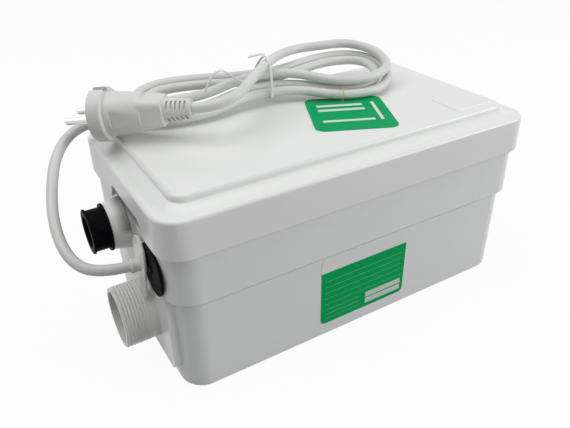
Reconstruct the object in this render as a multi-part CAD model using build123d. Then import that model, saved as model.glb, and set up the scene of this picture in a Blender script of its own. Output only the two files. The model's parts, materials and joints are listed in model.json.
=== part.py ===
from build123d import *
import math
import os

# Lifting box with its sewage pump. Millimetres, +Z up, tank base at Z = 0,
# the pipe end at -X, the label side at -Y.

os.makedirs("parts", exist_ok=True)

# Tank
FOOT_LENGTH = 280.4
FOOT_WIDTH = 149.2
WAIST_LENGTH = 283.2
WAIST_WIDTH = 151.2
WAIST_HEIGHT = 71.0
SHOULDER_HEIGHT = 75.0
BAND_LENGTH = 290.2
BAND_WIDTH = 158.2
TANK_CORNER = 17.0
TANK_WALL = 3.0
BASE_ROUND = 5.0
PAD_LOW = 16.0
PAD_FRONT = -64.0
PAD_REAR = 16.0
PAD_CORNER = 6.0

# Lid
TOP_HEIGHT = 144.5
SLOPE_DROP = 4.8
LEDGE_DROP = 7.5
RIM_DROP = 14.5
SKIRT_DROP = 34.1
LID_OVERHANG = 2.4
LID_CORNER = 18.0
LEDGE_WIDTH = 9.5
SLOPE_RUN = 4.6
TOP_ROUND = 3.0
LID_EDGE_ROUND = 2.5
LID_WALL = 2.0
LID_ROOF = 2.5
NOTCH_LOW = (-47.0, 19.0)
NOTCH_TOP = (-38.0, 14.0)
NOTCH_DROP = 23.5
PANEL_CENTRE = (110.3, -45.0)
PANEL_SIZE = (36.0, 28.0)
PANEL_RISE = 0.5
RIB_DEPTH = 5.0
RIB_WIDTH = 2.0
RIB_PLACES = (-80.0, -25.0, 30.0, 85.0)

# Inlet and its flap
INLET_Y = -24.0
INLET_Z = 43.0
INLET_RADIUS = 20.5
INLET_ROOT_RADIUS = 20.9
INLET_ROOT_REACH = 8.0
INLET_BORE = 18.0
INLET_END = -168.0
INLET_REACH = 19.0
INLET_FLANGE = 25.0
FLANGE_THICK = 3.0
FLAP_THICK = 2.0
FLAP_RADIUS = 20.0
FLAP_PIN_RADIUS = 1.5
FLAP_PIN_RISE = 24.5
FLAP_PIN_SET = 0.3
FLAP_HUB_RADIUS = 3.0
FLAP_HUB_LENGTH = 12.0
EAR_WIDTH = 3.0
RUNNING = 0.05
HUB_SIDE_GAP = 0.4

# Outlet, sleeve and non-return valve
OUTLET_Y = 7.5
OUTLET_DROP = 35.3
COLLAR_ROOT_RADIUS = 18.3
COLLAR_TIP_RADIUS = 16.0
COLLAR_LENGTH = 11.9
SPIGOT_RADIUS = 14.2
SPIGOT_BORE = 9.5
SPIGOT_OVERHANG = 6.0
SLEEVE_END = -170.0
SLEEVE_RADIUS = 14.4
SLEEVE_BEAD = 15.6
SLEEVE_FLANGE = 16.6
SLEEVE_LIP = 1.6
SLEEVE_LIP_ROUND = 0.6
SLEEVE_BORE = 11.0
VALVE_RADIUS = 19.5
VALVE_CHAMBER = 16.5
VALVE_LENGTH = 26.0
VALVE_SEAT_THICK = 3.0
VALVE_SEAT_RISE = 3.0
VALVE_SEAT_RADIUS = 9.6
VALVE_FLAP_RADIUS = 10.6
VALVE_FLAP_THICK = 2.0
VALVE_PIN_SET = 0.2
VALVE_PIN_RISE = 12.5
VALVE_PIN_RADIUS = 1.25
VALVE_HUB_RADIUS = 2.4
VALVE_HUB_LENGTH = 10.0
HOSE_STUB_RADIUS = 10.0
HOSE_STUB_BORE = 7.0
HOSE_STUB_LENGTH = 18.0
HOSE_WALL = 3.0
HOSE_BEND = 27.0
CLAMP_WIDTH = 9.0
CLAMP_THICK = 1.2

# Blanking plug, gland plate and grommet
BLANK_Y = -50.5
BLANK_DROP = 40.0
BLANK_LIP_RADIUS = 17.5
BLANK_BODY_RADIUS = 10.0
BLANK_LIP_THICK = 1.9
BLANK_TAB_RADIUS = 3.0
GLAND_Y = -36.0
GLAND_DROP = 22.5
GLAND_RISE = 19.5
GLAND_TOP_RADIUS = 10.5
GLAND_BOTTOM_RADIUS = 5.0
GLAND_THICK = 5.1
GLAND_LEAN = 5.0
GLAND_FIT = 0.3
EXIT_Y = -35.0
EXIT_DROP = 42.5
EXIT_X = -156.0
EXIT_RISE = 5.0
GROMMET_RADIUS = 4.6
GROMMET_COLLAR = 4.9
COLLAR_REACH = 2.0
GROMMET_LENGTH = 20.0

# Pump, from the tank floor upward
PUMP_X = 40.0
PUMP_Y = 10.0
MOUNT_HEIGHT = 8.0
MOUNT_RADIUS = 6.5
MOUNT_CIRCLE = 40.0
MOUNT_FIRST = 60.0
VOLUTE_START = 27.0
VOLUTE_GROWTH = 2.0
VOLUTE_WALL = 3.0
NOZZLE_REACH = 34.0
WEB_LENGTH = 18.0
CHAMBER_HEIGHT = 15.0
EYE_RADIUS = 12.0
STRAINER_RADIUS = 20.0
STRAINER_DEPTH = 5.0
IMPELLER_RADIUS = 23.0
IMPELLER_GAP = 1.0
IMPELLER_DISC = 2.0
IMPELLER_HUB = 7.0
VANE_COUNT = 6
VANE_THICK = 2.0
VANE_TOP = 11.0
SHAFT_RADIUS = 4.0
NUT_RADIUS = 5.5
NUT_HEIGHT = 4.0
BASE_PLATE_THICK = 5.0
SEAL_RADIUS = 9.0
BEARING_RADIUS = 11.0
BEARING_HEIGHT = 7.0
BOSS_RADIUS = 15.0
CAN_RADIUS = 42.0
CAN_WALL = 2.5
CAN_HEIGHT = 64.0
CAP_PLATE = 4.0
CAP_DOME = 5.0
STATOR_LOW = 14.0
STATOR_HEIGHT = 32.0
STATOR_BORE = 19.2
STATOR_SLOTS = 12
SLOT_WIDTH = 4.4
SLOT_DEPTH = 12.0
SLOT_START = 22.0
WINDING_REACH = 6.5
WINDING_GAP = 0.3
ROTOR_RADIUS = 18.7
TAB_CIRCLE = 46.5
TAB_RADIUS = 5.0
SCREW_RADIUS = 2.0
SCREW_HEAD_RADIUS = 3.6
SCREW_HEAD_HEIGHT = 3.0
SCREW_COUNT = 4

# Level switch
BELL_X = -60.0
BELL_Y = -45.0
BELL_RADIUS = 15.0
BELL_WALL = 2.0
BELL_MOUTH_HEIGHT = 27.0
BELL_NECK_RADIUS = 6.0
BELL_NECK_TOP = 62.0
CELL_RADIUS = 20.0
CELL_HALF = 8.0
MEMBRANE_THICK = 1.0
PLUNGER_PLATE_RADIUS = 9.0
PLUNGER_PLATE_THICK = 2.0
PLUNGER_RADIUS = 2.5
PLUNGER_REACH = 12.0
SWITCH_TRAVEL = 2.5
SPRING_RADIUS = 5.0
SPRING_WIRE = 0.5
SPRING_TURNS = 5
SWITCH_ROOF = 2.0
SWITCH_BODY = (26.0, 10.0, 12.0)
MOVING_GAP = 0.3

# Control box on four posts
BOX_X = 91.0
BOX_Y = -62.0
BOX_SIZE = (42.0, 56.0, 34.0)
BOX_BASE = 68.0
BOX_WALL = 2.0
POST_RADIUS = 4.0
CAPACITOR_RADIUS = 12.0
CAPACITOR_LENGTH = 46.0
BLOCK_SIZE = (12.0, 40.0, 13.0)

# Leads inside the tank
MOTOR_LEAD_RADIUS = 2.0
MOTOR_LEAD_CLEARANCE = 4.0
INNER_ROUTE = (
    (-114.0, -37.0, 89.0),
    (-88.0, -54.0, 103.0),
    (-46.0, -65.0, 111.0),
    (8.0, -66.0, 108.0),
    (56.0, -62.0, 95.0),
    (80.0, -52.0, 86.0),
)

# Vent filter, label and tag
FILTER_SIZE = (30.0, 22.0, 9.0)
LABEL_LEFT = -37.6
LABEL_RIGHT = 38.0
LABEL_LOW = 13.0
LABEL_TOP = 70.0
LABEL_CORNER = 4.0
LABEL_THICK = 0.3
TAG_THICK = 0.4
TAG_CENTRE = (25.2, -17.5)
TAG_SIZE = (59.5, 64.0)
TAG_CORNER = 7.0
TAG_TURN = -24.5
EYELET_RADIUS = 2.2
STRING_RADIUS = 0.4
STRING_LOOP = 4.7
STRING_SHARE = 0.5
STRING_SHIFT = 0.3

# Supply cord, its route heights given from the lid's top
CORD_RADIUS = 3.6
HANK_CENTRE = (-12.0, 44.0)
HANK_TURN = -9.0
HANK_TILT = 14.0
HANK_FRONT = 33.0
HANK_PITCH = 9.0
HANK_LAYER = 8.2
FRONT_RIGHT_HALF = 35.0
REAR_RIGHT_HALF = 31.0
LEFT_HALF = 28.0
FRONT_WAIST_HALF = 14.0
REAR_WAIST_HALF = 21.0
RIGHT_REACH = 108.0
LEFT_REACH = 107.0
RIGHT_LOBE = 72.0
LEFT_LOBE = 70.0
HANK_LIFT = 0.95
HANK_STEPS = 21
EXIT_RUN = 19.0
TAIL_END_RUN = 16.0
LEAD_START_RUN = 14.0
PLUG_RUN = 13.0
TAIL_ROUTE = (
    (-188.5, -24.0, -48.2),
    (-190.5, -1.0, -35.5),
    (-184.5, 21.0, -19.5),
    (-174.0, 41.0, -4.0),
    (-157.0, 56.5, 4.0),
    (-136.0, 60.0, 5.0),
    (-117.5, 48.0, 4.3),
)
LEAD_ROUTE = (
    (32.0, 68.0, 27.5),
    (10.0, 58.0, 28.5),
    (-14.0, 37.0, 30.0),
    (-37.0, 12.5, 31.0),
    (-56.1, -6.1, 29.2),
    (-67.8, -9.7, 26.6),
)
TIE_RADIUS = 0.9
TIE_LOOP = ((-18.0, -5.0), (20.5, -5.0), (20.5, 3.0), (3.0, 24.0), (-9.0, 24.0), (-18.0, 4.0))
TIE_CORNER = 4.0
TIE_TAILS = (
    ((0.0, 2.0, 24.0), (-13.0, 9.0, 21.0), (-22.0, 6.0, 14.0)),
    ((0.0, 2.0, 24.0), (-9.0, 15.0, 18.0), (-21.0, 17.0, 13.0)),
)
TIE_BEND = 6.0

# Mains plug, its height given from the lid's top
PLUG_FACE = (-142.3, 40.2, 16.9)
PLUG_AXIS = (0.79, -0.605, 0.09)
PLUG_RADIUS = 18.3
PLUG_RIM = 10.0
PLUG_GRIP_RADIUS = 13.0
PLUG_GRIP_END = 34.0
PLUG_BLOCK = (20.0, 18.0)
PLUG_BLOCK_END = 48.0
PLUG_LENGTH = 66.0
BOOT_ROOT_RADIUS = 8.0
BOOT_TIP_RADIUS = 6.3
BOOT_SLOTS = 5
SLOT_WIDE = 6.0
SLOT_LONG = 1.5
SLOT_DEEP = 1.6
PIN_SPACING = 19.0
PIN_RADIUS = 2.4
PIN_LENGTH = 19.0
PIN_DEPTH = 12.0
CLIP_WIDTH = 6.0
CLIP_THICK = 1.0

# Derived levels and faces
LOW = (Align.CENTER, Align.CENTER, Align.MIN)
FLOOR = TANK_WALL
RIM_HEIGHT = TOP_HEIGHT - RIM_DROP
SLOPE_HEIGHT = TOP_HEIGHT - SLOPE_DROP
LEDGE_HEIGHT = TOP_HEIGHT - LEDGE_DROP
SKIRT_LOW = TOP_HEIGHT - SKIRT_DROP
NOTCH_HEIGHT = TOP_HEIGHT - NOTCH_DROP
LID_LENGTH = BAND_LENGTH + 2 * LID_OVERHANG
LID_WIDTH = BAND_WIDTH + 2 * LID_OVERHANG
OUTLET_Z = RIM_HEIGHT - OUTLET_DROP
BLANK_Z = RIM_HEIGHT - BLANK_DROP
GLAND_TOP = RIM_HEIGHT - GLAND_DROP
GLAND_BOTTOM = INLET_Z + GLAND_RISE
EXIT_Z = RIM_HEIGHT - EXIT_DROP
BAND_FACE = -BAND_LENGTH / 2
BAND_INSIDE = BAND_FACE + TANK_WALL
INLET_INNER = BAND_FACE + INLET_REACH
INLET_SHOULDER = BAND_FACE - INLET_ROOT_REACH
INNER_WALL = BAND_FACE + TANK_WALL + (BAND_LENGTH - WAIST_LENGTH) / 2
LID_UNDER = TOP_HEIGHT - LID_ROOF
LEDGE_UNDER = LEDGE_HEIGHT - LID_ROOF
MOTOR_LEAD_HEIGHT = LID_UNDER - RIB_DEPTH - MOTOR_LEAD_RADIUS - MOTOR_LEAD_CLEARANCE
VOLUTE_BASE = FLOOR + MOUNT_HEIGHT
CHAMBER_FLOOR = VOLUTE_BASE + VOLUTE_WALL
CHAMBER_TOP = CHAMBER_FLOOR + CHAMBER_HEIGHT
PLATE_TOP = CHAMBER_TOP + BASE_PLATE_THICK
CAN_TOP = PLATE_TOP + CAN_HEIGHT
CAP_TOP = CAN_TOP + CAP_PLATE
LEAD_BOSS_TOP = CAP_TOP + CAP_DOME + 1
NOZZLE_Z = CHAMBER_TOP - HOSE_STUB_RADIUS - MOVING_GAP
NOZZLE_Y = PUMP_Y + VOLUTE_START + 4 * VOLUTE_GROWTH - HOSE_STUB_BORE
NOZZLE_END = PUMP_X - VOLUTE_START - NOZZLE_REACH
SPIGOT_END = BAND_FACE - SPIGOT_OVERHANG
VALVE_OUT = BAND_INSIDE + 8.0
VALVE_IN = VALVE_OUT + VALVE_LENGTH
STUB_END = VALVE_IN + VALVE_SEAT_THICK + HOSE_STUB_LENGTH
CELL_BASE = BELL_NECK_TOP
MEMBRANE_Z = CELL_BASE + CELL_HALF
CELL_TOP = MEMBRANE_Z + MEMBRANE_THICK + CELL_HALF + 4.0
PLUNGER_Z = MEMBRANE_Z + MEMBRANE_THICK + MOVING_GAP
PLUNGER_TOP = PLUNGER_Z + PLUNGER_PLATE_THICK + PLUNGER_REACH
SWITCH_LOW = PLUNGER_TOP + SWITCH_TRAVEL + MOVING_GAP
BOX_TOP = BOX_BASE + BOX_SIZE[2]
TAG_Z = TOP_HEIGHT + TAG_THICK


def save(name, *solids):
    shape = solids[0] if len(solids) == 1 else Compound(children=list(solids))
    export_step(shape, f"parts/{name}.step")
    print(name, len(solids), round(sum(s.volume for s in solids)))


def post(x, y, low, high, radius):
    """A round bar standing on Z."""
    return Pos(x, y, low) * Cylinder(radius, high - low, align=LOW)


def bar_x(start, end, y, z, radius):
    """A round bar lying along X."""
    return Pos(start, y, z) * Rot(0, 90, 0) * Cylinder(radius, end - start, align=LOW)


def bar_y(start, end, x, z, radius):
    """A round bar lying along Y."""
    return Pos(x, start, z) * Rot(-90, 0, 0) * Cylinder(radius, end - start, align=LOW)


def block(corner, size):
    """A box from its lowest corner."""
    return Pos(*corner) * Box(*size, align=(Align.MIN, Align.MIN, Align.MIN))


def level_outline(length, width, corner, height):
    """A rounded rectangle lying at one height."""
    return Pos(0, 0, height) * RectangleRounded(length, width, corner)


def level_block(length, width, corner, low, high):
    """A block with round upright corners."""
    return extrude(level_outline(length, width, corner, low), high - low)


def tube_on(points, radius, bends):
    """A tube on straight runs joined by arcs."""
    path = FilletPolyline(*points, radius=bends)
    ring = Plane(origin=path @ 0, z_dir=path % 0) * Circle(radius)
    return sweep(ring, path=path)


def even_bends(points):
    """The bend radius at each inner point, from its shorter run and its turn."""
    bends = []
    for before, here, after in zip(points, points[1:], points[2:]):
        arrive = Vector(*here) - Vector(*before)
        leave = Vector(*after) - Vector(*here)
        turn = math.radians(arrive.get_angle(leave))
        shorter = min(arrive.length, leave.length)
        bends.append(0.45 * shorter / math.tan(turn / 2))
    return bends


def tank_stack(inset, low, high):
    """The tapering tank body, drawn in by an inset."""
    levels = [
        (FOOT_LENGTH, FOOT_WIDTH, TANK_CORNER, low),
        (WAIST_LENGTH, WAIST_WIDTH, TANK_CORNER + 1, WAIST_HEIGHT),
        (BAND_LENGTH, BAND_WIDTH, TANK_CORNER + 3, SHOULDER_HEIGHT),
        (BAND_LENGTH, BAND_WIDTH, TANK_CORNER + 3, high),
    ]
    outlines = [
        level_outline(length - 2 * inset, width - 2 * inset, corner - inset, height)
        for length, width, corner, height in levels
    ]
    return loft(outlines, ruled=True)


def tank():
    body = tank_stack(0, 0, RIM_HEIGHT)
    body = fillet(body.faces().sort_by(Axis.Z)[0].edges(), BASE_ROUND)
    pad_middle = (PAD_FRONT + PAD_REAR) / 2
    pad_outline = RectangleRounded(PAD_REAR - PAD_FRONT, SHOULDER_HEIGHT + 6 - PAD_LOW, PAD_CORNER)
    pad_plane = Plane(
        origin=(BAND_FACE, pad_middle, (SHOULDER_HEIGHT + 6 + PAD_LOW) / 2),
        x_dir=(0, 1, 0),
        z_dir=(1, 0, 0),
    )
    body += extrude(pad_plane * pad_outline, 6)
    body -= tank_stack(TANK_WALL, FLOOR, RIM_HEIGHT + 1)
    body -= bar_x(BAND_FACE - 1, INNER_WALL + 6, INLET_Y, INLET_Z, INLET_ROOT_RADIUS)
    body -= bar_x(INNER_WALL, INNER_WALL + 6, INLET_Y, INLET_Z, INLET_FLANGE + MOVING_GAP)
    body -= bar_x(BAND_FACE - 1, BAND_INSIDE + 1, OUTLET_Y, OUTLET_Z, SPIGOT_RADIUS)
    body -= bar_x(BAND_FACE - 1, BAND_INSIDE + 1, BLANK_Y, BLANK_Z, BLANK_BODY_RADIUS)
    body -= grommet_core()
    for x in (BOX_X + 6, BOX_X + BOX_SIZE[0] - 6):
        for y in (BOX_Y + 6, BOX_Y + BOX_SIZE[1] - 6):
            body += post(x, y, FLOOR - 0.5, BOX_BASE, POST_RADIUS)
    return body


def lid():
    ledge_length = LID_LENGTH - 2 * LEDGE_WIDTH
    ledge_width = LID_WIDTH - 2 * LEDGE_WIDTH
    top_length = ledge_length - 2 * SLOPE_RUN
    top_width = ledge_width - 2 * SLOPE_RUN
    skirt = level_block(LID_LENGTH, LID_WIDTH, LID_CORNER, SKIRT_LOW, LEDGE_HEIGHT)
    skirt = fillet(skirt.faces().sort_by(Axis.Z)[-1].edges(), LID_EDGE_ROUND)
    slope = loft(
        [
            level_outline(ledge_length, ledge_width, LID_CORNER - 6, LEDGE_HEIGHT - 1),
            level_outline(ledge_length, ledge_width, LID_CORNER - 6, LEDGE_HEIGHT),
            level_outline(top_length, top_width, LID_CORNER - 8, SLOPE_HEIGHT),
        ],
        ruled=True,
    )
    top = level_block(top_length, top_width, LID_CORNER - 8, SLOPE_HEIGHT - 1, TOP_HEIGHT)
    top = fillet(top.faces().sort_by(Axis.Z)[-1].edges(), TOP_ROUND)
    body = skirt + slope + top
    body -= level_block(
        LID_LENGTH - 2 * LID_WALL, LID_WIDTH - 2 * LID_WALL, LID_CORNER - LID_WALL,
        SKIRT_LOW - 1, LEDGE_UNDER,
    )
    body -= level_block(
        top_length - 2 * LID_ROOF, top_width - 2 * LID_ROOF, LID_CORNER - 8 - LID_ROOF,
        LEDGE_UNDER - 1, LID_UNDER,
    )
    for x in RIB_PLACES:
        body += block(
            (x, -top_width / 2 + LID_ROOF - 0.5, LID_UNDER - RIB_DEPTH),
            (RIB_WIDTH, top_width - 2 * LID_ROOF + 1, RIB_DEPTH + 0.5),
        )
    panel = Pos(*PANEL_CENTRE, TOP_HEIGHT - 0.5) * RectangleRounded(*PANEL_SIZE, 3)
    body += extrude(panel, 0.5 + PANEL_RISE)
    notch_outline = Polyline(
        (NOTCH_LOW[0], SKIRT_LOW - 1),
        (NOTCH_LOW[1], SKIRT_LOW - 1),
        (NOTCH_LOW[1], SKIRT_LOW),
        (NOTCH_TOP[1], NOTCH_HEIGHT),
        (NOTCH_TOP[0], NOTCH_HEIGHT),
        (NOTCH_LOW[0], SKIRT_LOW),
        close=True,
    )
    notch_plane = Plane(origin=(-LID_LENGTH / 2 - 1, 0, 0), x_dir=(0, 1, 0), z_dir=(1, 0, 0))
    return body - extrude(notch_plane * make_face(notch_outline), LID_WALL + 2)


def lid_seal():
    """A square-section ring between the tank rim and the lid ledge."""
    ring = level_block(
        BAND_LENGTH - 0.4, BAND_WIDTH - 0.4, TANK_CORNER + 2.8, RIM_HEIGHT, LEDGE_UNDER
    )
    return ring - level_block(
        BAND_LENGTH - 2 * TANK_WALL, BAND_WIDTH - 2 * TANK_WALL, TANK_CORNER,
        RIM_HEIGHT, LEDGE_UNDER,
    )


def flap_pin_place():
    return INLET_INNER + FLAP_PIN_SET, INLET_Z + FLAP_PIN_RISE


def inlet_pipe():
    """Spigot on a slightly wider root through the wall, with ears for the flap's pin."""
    pin_x, pin_z = flap_pin_place()
    body = bar_x(INLET_END, INLET_SHOULDER, INLET_Y, INLET_Z, INLET_RADIUS)
    body += bar_x(INLET_SHOULDER, INLET_INNER, INLET_Y, INLET_Z, INLET_ROOT_RADIUS)
    body += bar_x(INNER_WALL, INNER_WALL + FLANGE_THICK, INLET_Y, INLET_Z, INLET_FLANGE)
    ear_start = FLAP_HUB_LENGTH / 2 + HUB_SIDE_GAP
    for near in (INLET_Y + ear_start, INLET_Y - ear_start - EAR_WIDTH):
        body += block(
            (INNER_WALL + 1, near, INLET_Z + INLET_BORE),
            (pin_x - INNER_WALL - 1, EAR_WIDTH, pin_z - INLET_Z - INLET_BORE + 3),
        )
        body += bar_y(near, near + EAR_WIDTH, pin_x, pin_z, 3)
    body -= bar_x(INLET_END - 1, INLET_INNER + 1, INLET_Y, INLET_Z, INLET_BORE)
    return body - inlet_flap_pin()


def inlet_flap_pin():
    reach = FLAP_HUB_LENGTH / 2 + HUB_SIDE_GAP + EAR_WIDTH
    return bar_y(INLET_Y - reach, INLET_Y + reach, *flap_pin_place(), FLAP_PIN_RADIUS)


def inlet_flap():
    """A disc on a hub, hung in front of the pipe's inner end."""
    face = INLET_INNER + MOVING_GAP
    pin_x, pin_z = flap_pin_place()
    half = FLAP_HUB_LENGTH / 2
    body = bar_x(face, face + FLAP_THICK, INLET_Y, INLET_Z, FLAP_RADIUS)
    body += bar_x(face + FLAP_THICK, face + FLAP_THICK + 1.5, INLET_Y, INLET_Z, FLAP_RADIUS / 2)
    body += block(
        (face, INLET_Y - half, INLET_Z + FLAP_RADIUS - 8),
        (FLAP_THICK, 2 * half, FLAP_PIN_RISE - FLAP_RADIUS + 8),
    )
    body += bar_y(INLET_Y - half, INLET_Y + half, pin_x, pin_z, FLAP_HUB_RADIUS)
    return body - bar_y(
        INLET_Y - half - 1, INLET_Y + half + 1, pin_x, pin_z, FLAP_PIN_RADIUS + RUNNING
    )


def outlet_spigot():
    """Flange inside the tank with a tube through the wall."""
    body = bar_x(SPIGOT_END, BAND_INSIDE, OUTLET_Y, OUTLET_Z, SPIGOT_RADIUS)
    body += bar_x(BAND_INSIDE, VALVE_OUT, OUTLET_Y, OUTLET_Z, VALVE_RADIUS)
    return body - bar_x(SPIGOT_END - 1, VALVE_OUT + 1, OUTLET_Y, OUTLET_Z, SPIGOT_BORE)


def outlet_collar():
    """The cone outside the wall that holds the sleeve."""
    cone = Cone(COLLAR_TIP_RADIUS, COLLAR_ROOT_RADIUS, COLLAR_LENGTH, align=LOW)
    body = Pos(BAND_FACE - COLLAR_LENGTH, OUTLET_Y, OUTLET_Z) * Rot(0, 90, 0) * cone
    return body - bar_x(BAND_FACE - 20, BAND_FACE + 1, OUTLET_Y, OUTLET_Z, SPIGOT_RADIUS)


def outlet_sleeve():
    lip = BAND_FACE - COLLAR_LENGTH
    body = bar_x(SLEEVE_END, lip, OUTLET_Y, OUTLET_Z, SLEEVE_RADIUS)
    body += bar_x(lip, SPIGOT_END, OUTLET_Y, OUTLET_Z, SPIGOT_RADIUS)
    bead = bar_x(SLEEVE_END, SLEEVE_END + SLEEVE_LIP, OUTLET_Y, OUTLET_Z, SLEEVE_BEAD)
    body += fillet(bead.edges(), SLEEVE_LIP_ROUND)
    flange = bar_x(lip - SLEEVE_LIP, lip, OUTLET_Y, OUTLET_Z, SLEEVE_FLANGE)
    body += fillet(flange.edges().sort_by(Axis.X)[0], SLEEVE_LIP_ROUND)
    return body - bar_x(SLEEVE_END - 1, SPIGOT_END + 1, OUTLET_Y, OUTLET_Z, SLEEVE_BORE)


def valve_body():
    """Round chamber with a seat wall and a hose stub."""
    seat_end = VALVE_IN + VALVE_SEAT_THICK
    body = bar_x(VALVE_OUT, seat_end, OUTLET_Y, OUTLET_Z, VALVE_RADIUS)
    body += bar_x(seat_end, STUB_END, OUTLET_Y, OUTLET_Z, HOSE_STUB_RADIUS)
    body -= bar_x(VALVE_OUT - 1, VALVE_IN, OUTLET_Y, OUTLET_Z, VALVE_CHAMBER)
    body += bar_x(VALVE_IN - VALVE_SEAT_RISE, VALVE_IN, OUTLET_Y, OUTLET_Z, VALVE_SEAT_RADIUS)
    body -= bar_x(VALVE_OUT, STUB_END + 1, OUTLET_Y, OUTLET_Z, HOSE_STUB_BORE)
    for start in (VALVE_OUT, VALVE_IN):
        ring = bar_x(start, start + 2.5, OUTLET_Y, OUTLET_Z, VALVE_RADIUS + 1.5)
        body += ring - bar_x(start, start + 2.5, OUTLET_Y, OUTLET_Z, VALVE_RADIUS - 1)
    return body - valve_pin()


def valve_pin_place():
    face = VALVE_IN - VALVE_SEAT_RISE - MOVING_GAP
    return face - VALVE_PIN_SET, OUTLET_Z + VALVE_PIN_RISE


def valve_pin():
    pin_x, pin_z = valve_pin_place()
    reach = math.sqrt(VALVE_RADIUS**2 - VALVE_PIN_RISE**2) - 1.0
    return bar_y(OUTLET_Y - reach, OUTLET_Y + reach, pin_x, pin_z, VALVE_PIN_RADIUS)


def valve_flap():
    pin_x, pin_z = valve_pin_place()
    half = VALVE_HUB_LENGTH / 2
    back = VALVE_IN - VALVE_SEAT_RISE - MOVING_GAP - VALVE_FLAP_THICK
    body = bar_x(back, back + VALVE_FLAP_THICK, OUTLET_Y, OUTLET_Z, VALVE_FLAP_RADIUS)
    body += block(
        (back, OUTLET_Y - half, OUTLET_Z + 4), (VALVE_FLAP_THICK, 2 * half, VALVE_PIN_RISE - 4)
    )
    body += bar_y(OUTLET_Y - half, OUTLET_Y + half, pin_x, pin_z, VALVE_HUB_RADIUS)
    return body - bar_y(
        OUTLET_Y - half - 1, OUTLET_Y + half + 1, pin_x, pin_z, VALVE_PIN_RADIUS + RUNNING
    )


def hose_route():
    corner_x = NOZZLE_END - HOSE_BEND - 12
    return [
        (NOZZLE_END + HOSE_STUB_LENGTH, NOZZLE_Y, NOZZLE_Z),
        (corner_x, NOZZLE_Y, NOZZLE_Z),
        (corner_x, OUTLET_Y, OUTLET_Z),
        (STUB_END - HOSE_STUB_LENGTH, OUTLET_Y, OUTLET_Z),
    ]


def discharge_hose():
    route = hose_route()
    bends = [HOSE_BEND, HOSE_BEND]
    outer = tube_on(route, HOSE_STUB_RADIUS + HOSE_WALL, bends)
    return outer - tube_on(route, HOSE_STUB_RADIUS, bends)


def hose_clamps():
    """Two worm-drive bands, each with its screw housing."""
    clamps = []
    inner = HOSE_STUB_RADIUS + HOSE_WALL
    outer = inner + CLAMP_THICK
    places = (
        (NOZZLE_END + 4, NOZZLE_Y, NOZZLE_Z),
        (STUB_END - CLAMP_WIDTH - 4, OUTLET_Y, OUTLET_Z),
    )
    for x, y, z in places:
        band = bar_x(x, x + CLAMP_WIDTH, y, z, outer)
        housing = block((x, y - 5, z + inner), (CLAMP_WIDTH, 10, 6))
        screw = bar_y(y - 9, y + 9, x + CLAMP_WIDTH / 2, z + inner + 3.4, 2)
        clamps.append(band + housing + screw - bar_x(x - 1, x + 15, y, z, inner))
    return clamps


def gland_outline(extra):
    """Egg-shaped outline of the plate, as two circles and the tangents between them."""
    top_centre = (0, GLAND_TOP - GLAND_TOP_RADIUS)
    low_centre = (0, GLAND_BOTTOM + GLAND_BOTTOM_RADIUS)
    circles = Pos(*top_centre) * Circle(GLAND_TOP_RADIUS + extra)
    circles += Pos(*low_centre) * Circle(GLAND_BOTTOM_RADIUS + extra)
    return make_hull(circles.edges())


def gland_block(extra, thick):
    """The plate's outline pushed out from the wall."""
    wall_plane = Plane(origin=(BAND_FACE, GLAND_Y, 0), x_dir=(0, -1, 0), z_dir=(-1, 0, 0))
    return extrude(wall_plane * gland_outline(extra), thick)


def gland_plate():
    body = gland_block(0, GLAND_THICK * 2)
    face_centre = (BAND_FACE - GLAND_THICK, GLAND_Y, (GLAND_TOP + GLAND_BOTTOM) / 2)
    slope = Pos(*face_centre) * Rot(0, -GLAND_LEAN, 0) * Pos(-20, 0, 0) * Box(40, 60, 90)
    body -= slope
    body = fillet(body.faces().sort_by(Axis.X)[0].edges(), 1.2)
    return body - grommet_core()


def grommet_axis():
    """Place of the cord's exit, its Z pointing out along the cord."""
    rise = math.radians(EXIT_RISE)
    return Plane(
        origin=(EXIT_X, EXIT_Y, EXIT_Z),
        x_dir=(0, 1, 0),
        z_dir=(-math.cos(rise), 0, math.sin(rise)),
    )


def grommet_core():
    """The straight barrel through plate and wall."""
    barrel = Pos(0, 0, -GROMMET_LENGTH) * Cylinder(GROMMET_RADIUS, GROMMET_LENGTH, align=LOW)
    return grommet_axis() * barrel


def cable_grommet():
    collar = Pos(0, 0, -COLLAR_REACH) * Cylinder(GROMMET_COLLAR, COLLAR_REACH, align=LOW)
    collar = fillet(collar.edges().sort_by(Axis.Z)[-1], 0.8)
    return grommet_core() + grommet_axis() * collar


def blanking_plug():
    lip = bar_x(BAND_FACE - BLANK_LIP_THICK, BAND_FACE, BLANK_Y, BLANK_Z, BLANK_LIP_RADIUS)
    lip = fillet(lip.edges().sort_by(Axis.X)[0], 0.9)
    body = lip + bar_x(BAND_FACE, BAND_INSIDE + 5, BLANK_Y, BLANK_Z, BLANK_BODY_RADIUS)
    body += bar_x(
        BAND_FACE - BLANK_LIP_THICK - 1.0, BAND_FACE, BLANK_Y, BLANK_Z, BLANK_TAB_RADIUS
    )
    body -= bar_x(BAND_FACE + 2, BAND_INSIDE + 6, BLANK_Y, BLANK_Z, BLANK_BODY_RADIUS - 3)
    return body - gland_block(GLAND_FIT, GLAND_THICK * 3)


def spiral_outline(extra):
    """Volute outline: four quarter arcs, each a step larger than the last."""
    arcs = []
    radius = VOLUTE_START + extra
    centre = Vector(PUMP_X, PUMP_Y)
    for quarter in range(4):
        start = 90 + 90 * quarter
        arcs.append(CenterArc(centre, radius, start, 90))
        toward = Vector(math.cos(math.radians(start + 90)), math.sin(math.radians(start + 90)))
        centre = centre - toward * VOLUTE_GROWTH
        radius += VOLUTE_GROWTH
    closing = Line(arcs[-1] @ 1, arcs[0] @ 0)
    return make_face(arcs + [closing])


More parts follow.
